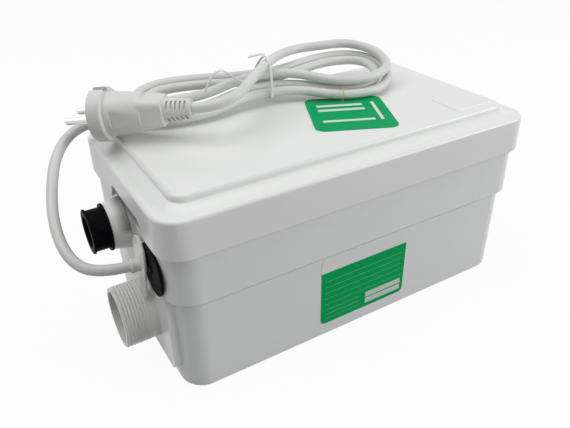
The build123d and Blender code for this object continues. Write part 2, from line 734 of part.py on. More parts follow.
def ring_places(count, radius, first):
    """Points evenly round the pump axis."""
    for index in range(count):
        angle = math.radians(first + 360 * index / count)
        yield PUMP_X + radius * math.cos(angle), PUMP_Y + radius * math.sin(angle)


def volute():
    body = extrude(Pos(0, 0, VOLUTE_BASE) * spiral_outline(VOLUTE_WALL), CHAMBER_TOP - VOLUTE_BASE)
    body += bar_x(NOZZLE_END, PUMP_X, NOZZLE_Y, NOZZLE_Z, HOSE_STUB_RADIUS)
    for x, y in ring_places(3, MOUNT_CIRCLE, MOUNT_FIRST):
        foot = post(x, y, VOLUTE_BASE, VOLUTE_BASE + 4, MOUNT_RADIUS + 1)
        body += foot + bridge(x, y, VOLUTE_BASE, 4, 9)
    for x, y in ring_places(SCREW_COUNT, TAB_CIRCLE, 0):
        body += post(x, y, CHAMBER_TOP - 8, CHAMBER_TOP, TAB_RADIUS)
        body += bridge(x, y, CHAMBER_TOP - 8, 8, 8)
    body -= extrude(Pos(0, 0, CHAMBER_FLOOR) * spiral_outline(0), CHAMBER_HEIGHT + 1)
    body -= bar_x(NOZZLE_END - 1, PUMP_X, NOZZLE_Y, NOZZLE_Z, HOSE_STUB_BORE)
    body -= post(PUMP_X, PUMP_Y, VOLUTE_BASE - 1, CHAMBER_FLOOR + 1, EYE_RADIUS)
    for x, y in ring_places(3, MOUNT_CIRCLE, MOUNT_FIRST):
        body -= post(x, y, VOLUTE_BASE - 1, VOLUTE_BASE + 5, SCREW_RADIUS)
    return body - screw_shanks()


def bridge(x, y, low, height, width):
    """A web from a tab toward the pump's round body."""
    away = math.degrees(math.atan2(y - PUMP_Y, x - PUMP_X))
    reach = math.hypot(x - PUMP_X, y - PUMP_Y)
    web = Pos(reach - WEB_LENGTH / 2, 0, low + height / 2) * Box(WEB_LENGTH, width, height)
    return Pos(PUMP_X, PUMP_Y, 0) * Rot(0, 0, away) * web


def screw_shanks():
    shanks = [
        post(x, y, CHAMBER_TOP - 8, CAP_TOP, SCREW_RADIUS)
        for x, y in ring_places(SCREW_COUNT, TAB_CIRCLE, 0)
    ]
    return shanks[0] + shanks[1:]


def motor_screws():
    screws = []
    for x, y in ring_places(SCREW_COUNT, TAB_CIRCLE, 0):
        head = post(x, y, CAP_TOP, CAP_TOP + SCREW_HEAD_HEIGHT, SCREW_HEAD_RADIUS)
        head -= Pos(x, y, CAP_TOP + 2) * extrude(RegularPolygon(1.6, 6), 2)
        screws.append(head + post(x, y, CHAMBER_TOP - 8, CAP_TOP, SCREW_RADIUS))
    return screws


def vibration_mounts():
    mounts = []
    for x, y in ring_places(3, MOUNT_CIRCLE, MOUNT_FIRST):
        mount = post(x, y, FLOOR, VOLUTE_BASE, MOUNT_RADIUS)
        waist = post(x, y, FLOOR + 3, VOLUTE_BASE - 3, MOUNT_RADIUS + 1)
        waist -= post(x, y, FLOOR + 3, VOLUTE_BASE - 3, MOUNT_RADIUS - 1.5)
        mounts.append(mount - waist + post(x, y, VOLUTE_BASE, VOLUTE_BASE + 4, SCREW_RADIUS))
    return mounts


def suction_strainer():
    """Slotted basket under the pump's eye."""
    low = VOLUTE_BASE - STRAINER_DEPTH
    body = post(PUMP_X, PUMP_Y, low, VOLUTE_BASE, STRAINER_RADIUS)
    body -= post(PUMP_X, PUMP_Y, low + 1.6, VOLUTE_BASE + 1, STRAINER_RADIUS - 2)
    for index in range(12):
        slot = Pos(STRAINER_RADIUS, 0, low + 3.2) * Box(8, 4, 3.2)
        body -= Pos(PUMP_X, PUMP_Y, 0) * Rot(0, 0, 30 * index) * slot
    for offset in range(-2, 3):
        body -= Pos(PUMP_X + 6 * offset, PUMP_Y, low) * Box(3, 22, 5)
    return body


def impeller():
    """Back disc with hub and swept vanes that face the eye."""
    low = CHAMBER_FLOOR + IMPELLER_GAP
    disc_low = low + VANE_TOP
    body = post(PUMP_X, PUMP_Y, disc_low, disc_low + IMPELLER_DISC, IMPELLER_RADIUS)
    body += post(PUMP_X, PUMP_Y, low, disc_low, IMPELLER_HUB)
    start = Vector(IMPELLER_HUB - 1, 0)
    end = Vector(IMPELLER_RADIUS - 0.6, 0).rotate(Axis.Z, 48)
    middle = Vector(IMPELLER_RADIUS * 0.68, 0).rotate(Axis.Z, 14)
    sweep_line = ThreePointArc(start, middle, end)
    vane = extrude(Pos(0, 0, low) * trace(sweep_line, VANE_THICK), VANE_TOP)
    for index in range(VANE_COUNT):
        body += Pos(PUMP_X, PUMP_Y, 0) * Rot(0, 0, 360 * index / VANE_COUNT) * vane
    return body - post(PUMP_X, PUMP_Y, low - 1, disc_low + 5, SHAFT_RADIUS)


def impeller_nut():
    low = CHAMBER_FLOOR + IMPELLER_GAP - NUT_HEIGHT
    nut = Pos(PUMP_X, PUMP_Y, low) * extrude(RegularPolygon(NUT_RADIUS, 6), NUT_HEIGHT)
    return nut - post(PUMP_X, PUMP_Y, low - 1, low + NUT_HEIGHT + 1, SHAFT_RADIUS)


def motor_shaft():
    low = CHAMBER_FLOOR + IMPELLER_GAP - NUT_HEIGHT - 1
    shaft = post(PUMP_X, PUMP_Y, low, CAN_TOP - 1.5, SHAFT_RADIUS)
    return chamfer(shaft.edges().filter_by(GeomType.CIRCLE), 0.6)


def shaft_seal():
    """Lip seal in the base plate, around the shaft."""
    body = post(PUMP_X, PUMP_Y, CHAMBER_TOP, PLATE_TOP, SEAL_RADIUS)
    body -= post(PUMP_X, PUMP_Y, CHAMBER_TOP + 1.6, PLATE_TOP - 1.2, SHAFT_RADIUS + 2.5)
    return body - post(PUMP_X, PUMP_Y, CHAMBER_TOP - 1, PLATE_TOP + 1, SHAFT_RADIUS + MOVING_GAP)


def base_plate():
    """Plate between pump and motor, with the lower bearing's pocket."""
    body = post(PUMP_X, PUMP_Y, CHAMBER_TOP, PLATE_TOP, CAN_RADIUS)
    body += post(PUMP_X, PUMP_Y, PLATE_TOP, PLATE_TOP + BEARING_HEIGHT, BOSS_RADIUS)
    for x, y in ring_places(SCREW_COUNT, TAB_CIRCLE, 0):
        body += post(x, y, CHAMBER_TOP, PLATE_TOP, TAB_RADIUS)
    body -= post(PUMP_X, PUMP_Y, CHAMBER_TOP - 1, PLATE_TOP, SEAL_RADIUS)
    body -= post(PUMP_X, PUMP_Y, PLATE_TOP, PLATE_TOP + BEARING_HEIGHT + 1, BEARING_RADIUS)
    return body - screw_shanks()


def bearing(low):
    """Ring with a groove on each side, running on the shaft."""
    body = post(PUMP_X, PUMP_Y, low, low + BEARING_HEIGHT, BEARING_RADIUS)
    groove = post(PUMP_X, PUMP_Y, 0, 0.8, BEARING_RADIUS - 2)
    groove -= post(PUMP_X, PUMP_Y, 0, 0.8, SHAFT_RADIUS + 2)
    body -= Pos(0, 0, low) * groove
    body -= Pos(0, 0, low + BEARING_HEIGHT - 0.8) * groove
    return body - post(PUMP_X, PUMP_Y, low - 1, low + 20, SHAFT_RADIUS + RUNNING)


def motor_can():
    """Finned tube around the stator."""
    body = post(PUMP_X, PUMP_Y, PLATE_TOP, CAN_TOP, CAN_RADIUS)
    for level in range(6):
        low = PLATE_TOP + 12 + 8 * level
        body += post(PUMP_X, PUMP_Y, low, low + 2, CAN_RADIUS + 1.5)
    body -= post(PUMP_X, PUMP_Y, PLATE_TOP - 1, CAN_TOP + 1, CAN_RADIUS - CAN_WALL)
    for x, y in ring_places(SCREW_COUNT, TAB_CIRCLE, 0):
        body -= post(x, y, PLATE_TOP - 1, CAN_TOP + 1, SCREW_RADIUS + 0.6)
    return body


def motor_cap():
    """Top cover with the upper bearing's pocket and a cable boss."""
    body = post(PUMP_X, PUMP_Y, CAN_TOP, CAP_TOP, CAN_RADIUS)
    dome = post(PUMP_X, PUMP_Y, CAP_TOP, CAP_TOP + CAP_DOME, CAN_RADIUS - 8)
    body += fillet(dome.edges().sort_by(Axis.Z)[-1], CAP_DOME - 1)
    body += post(PUMP_X, PUMP_Y, CAN_TOP - BEARING_HEIGHT, CAN_TOP, BOSS_RADIUS)
    body += post(*motor_lead_start(), CAN_TOP, LEAD_BOSS_TOP, MOTOR_LEAD_RADIUS + 2)
    for x, y in ring_places(SCREW_COUNT, TAB_CIRCLE, 0):
        body += post(x, y, CAN_TOP, CAP_TOP, TAB_RADIUS)
    body -= post(PUMP_X, PUMP_Y, CAN_TOP - BEARING_HEIGHT - 1, CAN_TOP, BEARING_RADIUS)
    return body - screw_shanks()


def stator_slot(depth, width, low, high):
    """One slot shape on the X side of the pump axis."""
    slot = Pos(SLOT_START + depth / 2, 0, (low + high) / 2) * Box(depth, width, high - low)
    return Pos(PUMP_X, PUMP_Y, 0) * slot


def turned_slots(slot):
    turn = Pos(PUMP_X, PUMP_Y, 0)
    back = Pos(-PUMP_X, -PUMP_Y, 0)
    return [turn * Rot(0, 0, 360 * i / STATOR_SLOTS) * back * slot for i in range(STATOR_SLOTS)]


def stator_core():
    low = PLATE_TOP + STATOR_LOW
    high = low + STATOR_HEIGHT
    body = post(PUMP_X, PUMP_Y, low, high, CAN_RADIUS - CAN_WALL)
    body -= post(PUMP_X, PUMP_Y, low - 1, high + 1, STATOR_BORE)
    return body - turned_slots(stator_slot(SLOT_DEPTH, SLOT_WIDTH, low - 1, high + 1))


def stator_windings():
    """Bars in the slots, joined above and below by the end turns."""
    low = PLATE_TOP + STATOR_LOW
    high = low + STATOR_HEIGHT
    inner = SLOT_START + WINDING_GAP
    outer = SLOT_START + SLOT_DEPTH - WINDING_GAP
    body = None
    for base in (low - WINDING_REACH, high):
        ring = post(PUMP_X, PUMP_Y, base, base + WINDING_REACH, outer)
        ring = fillet(ring.edges(), 2)
        ring -= post(PUMP_X, PUMP_Y, base - 1, base + WINDING_REACH + 1, inner)
        body = ring if body is None else body + ring
    bar = stator_slot(SLOT_DEPTH, SLOT_WIDTH, low - 1, high + 1)
    trim = post(PUMP_X, PUMP_Y, low - 2, high + 2, outer) - post(PUMP_X, PUMP_Y, low - 2, high + 2, inner)
    return body + [piece & trim for piece in turned_slots(bar)]


def rotor_core():
    low = PLATE_TOP + STATOR_LOW
    body = post(PUMP_X, PUMP_Y, low, low + STATOR_HEIGHT, ROTOR_RADIUS)
    for end in (low - 3, low + STATOR_HEIGHT):
        body += post(PUMP_X, PUMP_Y, end, end + 3, ROTOR_RADIUS - 2)
    return body - post(PUMP_X, PUMP_Y, low - 4, low + STATOR_HEIGHT + 4, SHAFT_RADIUS)


def level_bell():
    """Air bell with an open, notched mouth and the lower half of the cell."""
    mouth_top = FLOOR + BELL_MOUTH_HEIGHT
    body = post(BELL_X, BELL_Y, FLOOR, mouth_top, BELL_RADIUS)
    shoulder = Cone(BELL_RADIUS, BELL_NECK_RADIUS, 10, align=LOW)
    body += Pos(BELL_X, BELL_Y, mouth_top) * shoulder
    body += post(BELL_X, BELL_Y, mouth_top, CELL_BASE, BELL_NECK_RADIUS)
    body += post(BELL_X, BELL_Y, CELL_BASE, MEMBRANE_Z, CELL_RADIUS)
    body -= post(BELL_X, BELL_Y, FLOOR - 1, mouth_top, BELL_RADIUS - BELL_WALL)
    body -= post(BELL_X, BELL_Y, FLOOR, MEMBRANE_Z, BELL_NECK_RADIUS - BELL_WALL)
    body -= post(BELL_X, BELL_Y, CELL_BASE + 2.5, MEMBRANE_Z + 1, CELL_RADIUS - 3)
    for turn in (0, 90):
        notch = Pos(BELL_X, BELL_Y, FLOOR) * Rot(0, 0, turn) * Box(2 * BELL_RADIUS + 2, 8, 12)
        body -= notch
    return body


def diaphragm():
    """Rubber membrane with a rolled ring."""
    body = post(BELL_X, BELL_Y, MEMBRANE_Z, MEMBRANE_Z + MEMBRANE_THICK, CELL_RADIUS)
    roll = Pos(BELL_X, BELL_Y, MEMBRANE_Z) * Torus(CELL_RADIUS - 6, 1.6)
    upper = post(BELL_X, BELL_Y, MEMBRANE_Z - 3, MEMBRANE_Z, CELL_RADIUS)
    return body + (roll & upper)


def switch_cover():
    """Upper half of the cell, guiding the plunger and carrying the switch."""
    low = MEMBRANE_Z + MEMBRANE_THICK
    body = post(BELL_X, BELL_Y, low, CELL_TOP, CELL_RADIUS)
    body -= post(BELL_X, BELL_Y, low - 1, CELL_TOP - SWITCH_ROOF, CELL_RADIUS - 3)
    body -= post(BELL_X, BELL_Y, low, CELL_TOP + 1, PLUNGER_RADIUS + RUNNING)
    for side in (-1, 1):
        body += post(BELL_X + 10 * side, BELL_Y, CELL_TOP - 1, SWITCH_LOW, 2.5)
    return body


def switch_plunger():
    plate = post(
        BELL_X, BELL_Y, PLUNGER_Z, PLUNGER_Z + PLUNGER_PLATE_THICK, PLUNGER_PLATE_RADIUS
    )
    return plate + post(BELL_X, BELL_Y, PLUNGER_Z, PLUNGER_TOP, PLUNGER_RADIUS)


def switch_spring():
    """Coil between the plunger's plate and the cover's roof."""
    low = PLUNGER_Z + PLUNGER_PLATE_THICK + SPRING_WIRE
    high = CELL_TOP - SWITCH_ROOF - SPRING_WIRE
    pitch = (high - low) / SPRING_TURNS
    coil = Pos(BELL_X, BELL_Y, low) * Helix(pitch, high - low, SPRING_RADIUS)
    wire = Plane(origin=coil @ 0, z_dir=coil % 0) * Circle(SPRING_WIRE)
    return sweep(wire, path=coil, is_frenet=True)


def microswitch():
    body = Pos(BELL_X, BELL_Y, SWITCH_LOW) * Box(*SWITCH_BODY, align=LOW)
    body = fillet(body.edges().filter_by(Axis.Y), 1)
    for x in (-10, 0, 10):
        body += Pos(BELL_X + x, BELL_Y, SWITCH_LOW + SWITCH_BODY[2]) * Box(4, 0.8, 5, align=LOW)
    return body


def control_box():
    """Open tray for the electrical parts."""
    body = block((BOX_X, BOX_Y, BOX_BASE), BOX_SIZE)
    body = fillet(body.edges().filter_by(Axis.Z), 4)
    inner = [BOX_SIZE[0] - 2 * BOX_WALL, BOX_SIZE[1] - 2 * BOX_WALL, BOX_SIZE[2]]
    hollow = block((BOX_X + BOX_WALL, BOX_Y + BOX_WALL, BOX_BASE + BOX_WALL), inner)
    return body - fillet(hollow.edges().filter_by(Axis.Z), 2)


def control_cover():
    body = block((BOX_X, BOX_Y, BOX_TOP), (BOX_SIZE[0], BOX_SIZE[1], 2))
    body = fillet(body.edges().filter_by(Axis.Z), 4)
    inner = (BOX_SIZE[0] - 2 * BOX_WALL - 0.4, BOX_SIZE[1] - 2 * BOX_WALL - 0.4, 2)
    lip = block((BOX_X + BOX_WALL + 0.2, BOX_Y + BOX_WALL + 0.2, BOX_TOP - 2), inner)
    body += fillet(lip.edges().filter_by(Axis.Z), 1.8)
    return body - post(*motor_lead_end(), BOX_TOP - 3, BOX_TOP + 3, MOTOR_LEAD_RADIUS)


def capacitor():
    x = BOX_X + BOX_SIZE[0] - BOX_WALL - CAPACITOR_RADIUS - 0.5
    z = BOX_BASE + BOX_WALL + CAPACITOR_RADIUS
    start = BOX_Y + BOX_WALL + 2
    body = bar_y(start, start + CAPACITOR_LENGTH, x, z, CAPACITOR_RADIUS)
    body = fillet(body.edges().sort_by(Axis.Y)[-1], 2)
    for side in (-1, 1):
        body += Pos(x + 4 * side, start - 0.8, z) * Box(0.8, 2, 5)
    return body


def terminal_block():
    corner = (BOX_X + BOX_WALL, BOX_Y + 8, BOX_BASE + BOX_WALL)
    body = block(corner, BLOCK_SIZE)
    for index in range(4):
        y = corner[1] + 5 + 10 * index
        x = corner[0] + BLOCK_SIZE[0] / 2
        body -= post(x, y, corner[2] + 5, corner[2] + BLOCK_SIZE[2] + 1, 2.2)
        body -= block((corner[0] - 1, y - 2, corner[2] + 4), (20, 4, 4))
    return body


def inner_lead():
    """Supply cord inside the tank, from the grommet to the control box."""
    start = grommet_axis() * Pos(0, 0, -GROMMET_LENGTH)
    first = start.position
    onward = start.position - grommet_axis().z_dir * 12
    end = Vector(BOX_X, INNER_ROUTE[-1][1], INNER_ROUTE[-1][2])
    points = [tuple(first), tuple(onward)] + list(INNER_ROUTE) + [tuple(end)]
    bends = even_bends(points)
    print("inner lead radii", [round(bend) for bend in bends])
    return tube_on(points, CORD_RADIUS, bends)


def motor_lead_start():
    return PUMP_X + 29, PUMP_Y - 12


def motor_lead_end():
    return BOX_X + 14, BOX_Y + BOX_SIZE[1] - 22


def motor_lead():
    """Wire from the motor cap up and over to the control box."""
    start_x, start_y = motor_lead_start()
    end_x, end_y = motor_lead_end()
    points = [
        (start_x, start_y, LEAD_BOSS_TOP),
        (start_x, start_y, MOTOR_LEAD_HEIGHT),
        (end_x, end_y, MOTOR_LEAD_HEIGHT),
        (end_x, end_y, BOX_TOP - 4),
    ]
    return tube_on(points, MOTOR_LEAD_RADIUS, even_bends(points))


def vent_filter():
    """Slotted cartridge under the lid's panel."""
    low = LID_UNDER - FILTER_SIZE[2]
    body = Pos(*PANEL_CENTRE, low) * Box(*FILTER_SIZE, align=LOW)
    body = fillet(body.edges().filter_by(Axis.Z), 2)
    for index in range(-4, 5):
        body -= Pos(PANEL_CENTRE[0] + 3 * index, PANEL_CENTRE[1], low) * Box(1.4, 16, 8)
    return body


def rating_label():
    """Thin sheet on the leaning front wall."""
    middle_z = (LABEL_LOW + LABEL_TOP) / 2
    lean = (WAIST_WIDTH - FOOT_WIDTH) / 2 / WAIST_HEIGHT
    middle_y = -FOOT_WIDTH / 2 - lean * middle_z
    sheet_plane = Plane(
        origin=((LABEL_LEFT + LABEL_RIGHT) / 2, middle_y, middle_z),
        x_dir=(1, 0, 0),
        z_dir=(0, -1, -lean),
    )
    sheet = RectangleRounded(LABEL_RIGHT - LABEL_LEFT, LABEL_TOP - LABEL_LOW, LABEL_CORNER)
    return extrude(sheet_plane * sheet, LABEL_THICK)


def hang_tag():
    """Round-cornered card turned on the lid, with a hole for its string."""
    place = Pos(*TAG_CENTRE, TOP_HEIGHT) * Rot(0, 0, TAG_TURN)
    sheet = extrude(place * RectangleRounded(*TAG_SIZE, TAG_CORNER), TAG_THICK)
    eyelet, _ = string_place()
    return sheet - post(eyelet.X, eyelet.Y, TOP_HEIGHT - 1, TAG_Z + 1, EYELET_RADIUS)


# The hank is one tube through stations on a tilted plane. Each station has a place,
# how far it is drawn in, and a layer.

STATION_PLACES = {
    "front left": (-LEFT_LOBE, -LEFT_HALF, 1, 0),
    "front waist": (0, -FRONT_WAIST_HALF, 1, 0),
    "front right": (RIGHT_LOBE, -FRONT_RIGHT_HALF, 1, 0),
    "right": (RIGHT_REACH, 0, 0, 1),
    "rear right": (RIGHT_LOBE, REAR_RIGHT_HALF, -1, 0),
    "rear waist": (0, REAR_WAIST_HALF, -1, 0),
    "rear left": (-LEFT_LOBE, LEFT_HALF, -1, 0),
    "left": (-LEFT_REACH, 0, 0, -1),
}


def hank_frame():
    """The hank's own plane, X along it and Z square to it."""
    turn = math.radians(HANK_TURN)
    tilt = math.radians(HANK_TILT)
    along = Vector(math.cos(turn), math.sin(turn), 0)
    flat_across = Vector(-math.sin(turn), math.cos(turn), 0)
    across = flat_across * math.cos(tilt) + Vector(0, 0, math.sin(tilt))
    height = TOP_HEIGHT + CORD_RADIUS + HANK_LIFT + HANK_FRONT * math.sin(tilt)
    return Plane(origin=(*HANK_CENTRE, height), x_dir=along, z_dir=along.cross(across))


def drawn_in(index):
    """Two loops spiral inward, then the last half loop comes back out."""
    if index < 16:
        return HANK_PITCH * index / 8
    return max(0, HANK_PITCH * 2 * (1 - (index - 16) / 4))


def hank_stations():
    frame = hank_frame()
    names = list(STATION_PLACES)
    stations = []
    for index in range(HANK_STEPS):
        x, y, run_x, run_y = STATION_PLACES[names[index % 8]]
        inward = drawn_in(index)
        if run_y == 0:
            y -= math.copysign(inward, y)
        else:
            x -= math.copysign(inward, x)
        layer = min(1, max(0, (index - 15) / 2))
        place = frame.from_local_coords(Vector(x, y, layer * HANK_LAYER))
        heading = frame.from_local_coords(Vector(x + run_x, y + run_y, layer * HANK_LAYER)) - place
        stations.append((place, heading))
    return stations


def two_arcs(start, heading, end, arrival):
    """Two arcs between two points that keep the heading at both."""
    span = end - start
    headings = heading + arrival
    bend = 2 * (1 - heading.dot(arrival))
    if bend < 1e-6:
        reach = span.dot(span) / (4 * span.dot(arrival))
    else:
        inside = span.dot(headings) ** 2 + bend * span.dot(span)
        reach = (math.sqrt(inside) - span.dot(headings)) / bend
    middle = (start + end + (heading - arrival) * reach) * 0.5
    first = Edge.make_tangent_arc(start, heading, middle)
    second = Edge.make_tangent_arc(middle, first % 1, end)
    return [first, second]


def cord_hank():
    stations = hank_stations()
    edges = []
    for (start, heading), (end, arrival) in zip(stations, stations[1:]):
        edges += two_arcs(start, heading, end, arrival)
    path = Wire(edges)
    ring = Plane(origin=stations[0][0], z_dir=stations[0][1]) * Circle(CORD_RADIUS)
    hank = sweep(ring, path=path)
    print("hank volume ratio", round(hank.volume / (math.pi * CORD_RADIUS**2 * path.length), 3))
    print("hank tightest radius", round(min(edge.radius for edge in edges if edge.geom_type == GeomType.CIRCLE), 1))
    print("hank least gap", round(least_gap(edges), 2))
    return hank


def least_gap(edges):
    """Smallest space between far-apart stretches of the tube."""
    points = []
    travelled = 0
    for edge in edges:
        for step in range(8):
            points.append((travelled + edge.length * step / 8, edge.position_at(step / 8)))
        travelled += edge.length
    least = travelled
    for number, (first_run, first) in enumerate(points):
        for second_run, second in points[number + 1:]:
            if second_run - first_run > 12 * CORD_RADIUS:
                least = min(least, (first - second).length)
    return least - 2 * CORD_RADIUS


def cord_tail():
    """Free cord from the grommet to the hank."""
    exit_plane = grommet_axis()
    start = exit_plane.origin
    end, heading = hank_stations()[0]
    points = [start, start + exit_plane.z_dir * EXIT_RUN]
    points += [above_lid(point) for point in TAIL_ROUTE]
    points += [end - heading * TAIL_END_RUN, end]
    return free_cord("tail", points)


def above_lid(point):
    """A point whose height is given from the lid's top."""
    return Vector(point) + Vector(0, 0, TOP_HEIGHT)


def free_cord(name, points):
    points = [tuple(point) for point in points]
    bends = even_bends(points)
    tube = tube_on(points, CORD_RADIUS, bends)
    print(name, "radii", [round(bend) for bend in bends])
    length = FilletPolyline(*points, radius=bends).length
    print(name, "length", round(length), "ratio", round(tube.volume / (math.pi * CORD_RADIUS**2 * length), 3))
    return tube


def plug_frame():
    """The plug's own frame: Z from its face toward the cord."""
    axis = Vector(*PLUG_AXIS)
    return Plane(origin=above_lid(PLUG_FACE), x_dir=axis.cross(Vector(0, 0, 1)), z_dir=axis)


def cord_lead():
    """Free cord from the hank to the plug."""
    start, heading = hank_stations()[-1]
    frame = plug_frame()
    cord_end = frame.from_local_coords(Vector(0, 0, PLUG_LENGTH))
    before = cord_end + frame.z_dir * PLUG_RUN
    points = [start, start + heading * LEAD_START_RUN]
    points += [above_lid(point) for point in LEAD_ROUTE]
    points += [before, cord_end]
    return free_cord("lead", points)


def plug_body():
    """Round moulded plug with grip windows and side slots for the earth clips."""
    disc = Cylinder(PLUG_RADIUS, PLUG_RIM, align=LOW)
    disc = fillet(disc.edges().filter_by(GeomType.CIRCLE), 1.2)
    grip = Pos(0, 0, PLUG_RIM - 1) * Cone(
        PLUG_RADIUS - 3, PLUG_GRIP_RADIUS, PLUG_GRIP_END - PLUG_RIM + 1, align=LOW
    )
    tail = loft(
        [
            Pos(0, 0, PLUG_GRIP_END - 2) * RectangleRounded(PLUG_BLOCK[0] + 3, PLUG_BLOCK[1] + 4, 5),
            Pos(0, 0, PLUG_BLOCK_END) * RectangleRounded(*PLUG_BLOCK, 4),
        ],
        ruled=True,
    )
    body = disc + grip + tail
    for side in (-1, 1):
        window = Pos(side * (PLUG_RADIUS - 2), 0, (PLUG_RIM + PLUG_GRIP_END) / 2) * Box(6, 14, 16)
        body -= fillet(window.edges().filter_by(Axis.X), 3)
        body -= Pos(0, side * (PLUG_RADIUS - 1), PLUG_RIM / 2) * Box(CLIP_WIDTH, 4, PLUG_RIM + 2)
    for side in (-1, 1):
        body -= Pos(side * PIN_SPACING / 2, 0, -1) * Cylinder(PIN_RADIUS, PIN_DEPTH + 1, align=LOW)
    return plug_frame().location * body


def plug_pins():
    pins = []
    for side in (-1, 1):
        pin = Pos(side * PIN_SPACING / 2, 0, -PIN_LENGTH) * Cylinder(
            PIN_RADIUS, PIN_LENGTH + PIN_DEPTH, align=LOW
        )
        pin = fillet(pin.edges().sort_by(Axis.Z)[0], 1.8)
        pins.append(plug_frame().location * pin)
    return pins


def plug_earth_clips():
    clips = []
    for side in (-1, 1):
        leaf = Pos(0, side * (PLUG_RADIUS - 2.5), PLUG_RIM / 2) * Box(
            CLIP_WIDTH - 0.6, CLIP_THICK, PLUG_RIM
        )
        clips.append(plug_frame().location * leaf)
    return clips


def plug_boot():
    """Tapered strain relief with four rows of slots."""
    length = PLUG_LENGTH - PLUG_BLOCK_END
    body = Pos(0, 0, PLUG_BLOCK_END) * Cone(BOOT_ROOT_RADIUS, BOOT_TIP_RADIUS, length, align=LOW)
    for index in range(1, BOOT_SLOTS + 1):
        share = index / (BOOT_SLOTS + 1)
        radius = BOOT_ROOT_RADIUS - (BOOT_ROOT_RADIUS - BOOT_TIP_RADIUS) * share
        slot = Pos(radius, 0, PLUG_BLOCK_END + length * share) * Box(2 * SLOT_DEEP, SLOT_WIDE, SLOT_LONG)
        for row in range(4):
            body -= Rot(0, 0, 45 + 90 * row) * slot
    return plug_frame().location * body


def string_place():
    """Where the tag's string goes round the front strand, and the strand's heading there."""
    stations = hank_stations()
    strand = two_arcs(*stations[1], *stations[2])[1]
    heading = strand % STRING_SHARE
    outward = Vector(heading.Y, -heading.X, 0).normalized()
    return strand @ STRING_SHARE + outward * STRING_SHIFT, heading


def tag_string():
    """Loop of string through the eyelet and round the strand."""
    place, heading = string_place()
    height = TOP_HEIGHT + 0.05 + STRING_RADIUS + STRING_LOOP
    loop = Plane(origin=(place.X, place.Y, height), z_dir=(heading.X, heading.Y, 0))
    return loop * Torus(STRING_LOOP, STRING_RADIUS)


def twist_tie():
    """Wire round the strands at the hank's waist, with two loose ends."""
    frame = hank_frame()
    corners = [frame.from_local_coords(Vector(0, y, z)) for y, z in TIE_LOOP]
    path = FilletPolyline(*corners, radius=TIE_CORNER, close=True)
    ring = Plane(origin=path @ 0, z_dir=path % 0) * Circle(TIE_RADIUS)
    body = sweep(ring, path=path)
    for tail in TIE_TAILS:
        points = [frame.from_local_coords(Vector(*point)) for point in tail]
        body += tube_on(points, TIE_RADIUS, [TIE_BEND])
    return body


def main():
    save("tank", tank())
    save("lid", lid())
    save("lid_seal", lid_seal())
    save("inlet_pipe", inlet_pipe())
    save("inlet_flap", inlet_flap())
    save("inlet_flap_pin", inlet_flap_pin())
    save("outlet_spigot", outlet_spigot())
    save("outlet_collar", outlet_collar())
    save("outlet_sleeve", outlet_sleeve())
    save("valve_body", valve_body())
    save("valve_flap", valve_flap())
    save("valve_pin", valve_pin())
    save("discharge_hose", discharge_hose())
    save("hose_clamps", *hose_clamps())
    save("gland_plate", gland_plate())
    save("cable_grommet", cable_grommet())
    save("blanking_plug", blanking_plug())
    save("volute", volute())
    save("vibration_mounts", *vibration_mounts())
    save("suction_strainer", suction_strainer())
    save("impeller", impeller())
    save("impeller_nut", impeller_nut())
    save("motor_shaft", motor_shaft())
    save("shaft_seal", shaft_seal())
    save("base_plate", base_plate())
    save("lower_bearing", bearing(PLATE_TOP))
    save("upper_bearing", bearing(CAN_TOP - BEARING_HEIGHT))
    save("motor_can", motor_can())
    save("motor_cap", motor_cap())
    save("motor_screws", *motor_screws())
    save("stator_core", stator_core())
    save("stator_windings", stator_windings())
    save("rotor_core", rotor_core())
    save("level_bell", level_bell())
    save("diaphragm", diaphragm())
    save("switch_cover", switch_cover())
    save("switch_plunger", switch_plunger())
    save("switch_spring", switch_spring())
    save("microswitch", microswitch())
    save("control_box", control_box())
    save("control_cover", control_cover())
    save("capacitor", capacitor())
    save("terminal_block", terminal_block())
    save("inner_lead", inner_lead())
    save("motor_lead", motor_lead())
    save("vent_filter", vent_filter())
    save("rating_label", rating_label())
    save("hang_tag", hang_tag())
    save("tag_string", tag_string())
    save("twist_tie", twist_tie())
    save("cord_tail", cord_tail())
    save("cord_hank", cord_hank())
    save("cord_lead", cord_lead())
    save("plug_body", plug_body())
    save("plug_pins", *plug_pins())
    save("plug_earth_clips", *plug_earth_clips())
    save("plug_boot", plug_boot())


main()
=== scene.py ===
import json
import math

import bmesh
import bpy
from bpy.props import FloatProperty, FloatVectorProperty, IntProperty, PointerProperty
from mathutils import Matrix, Vector


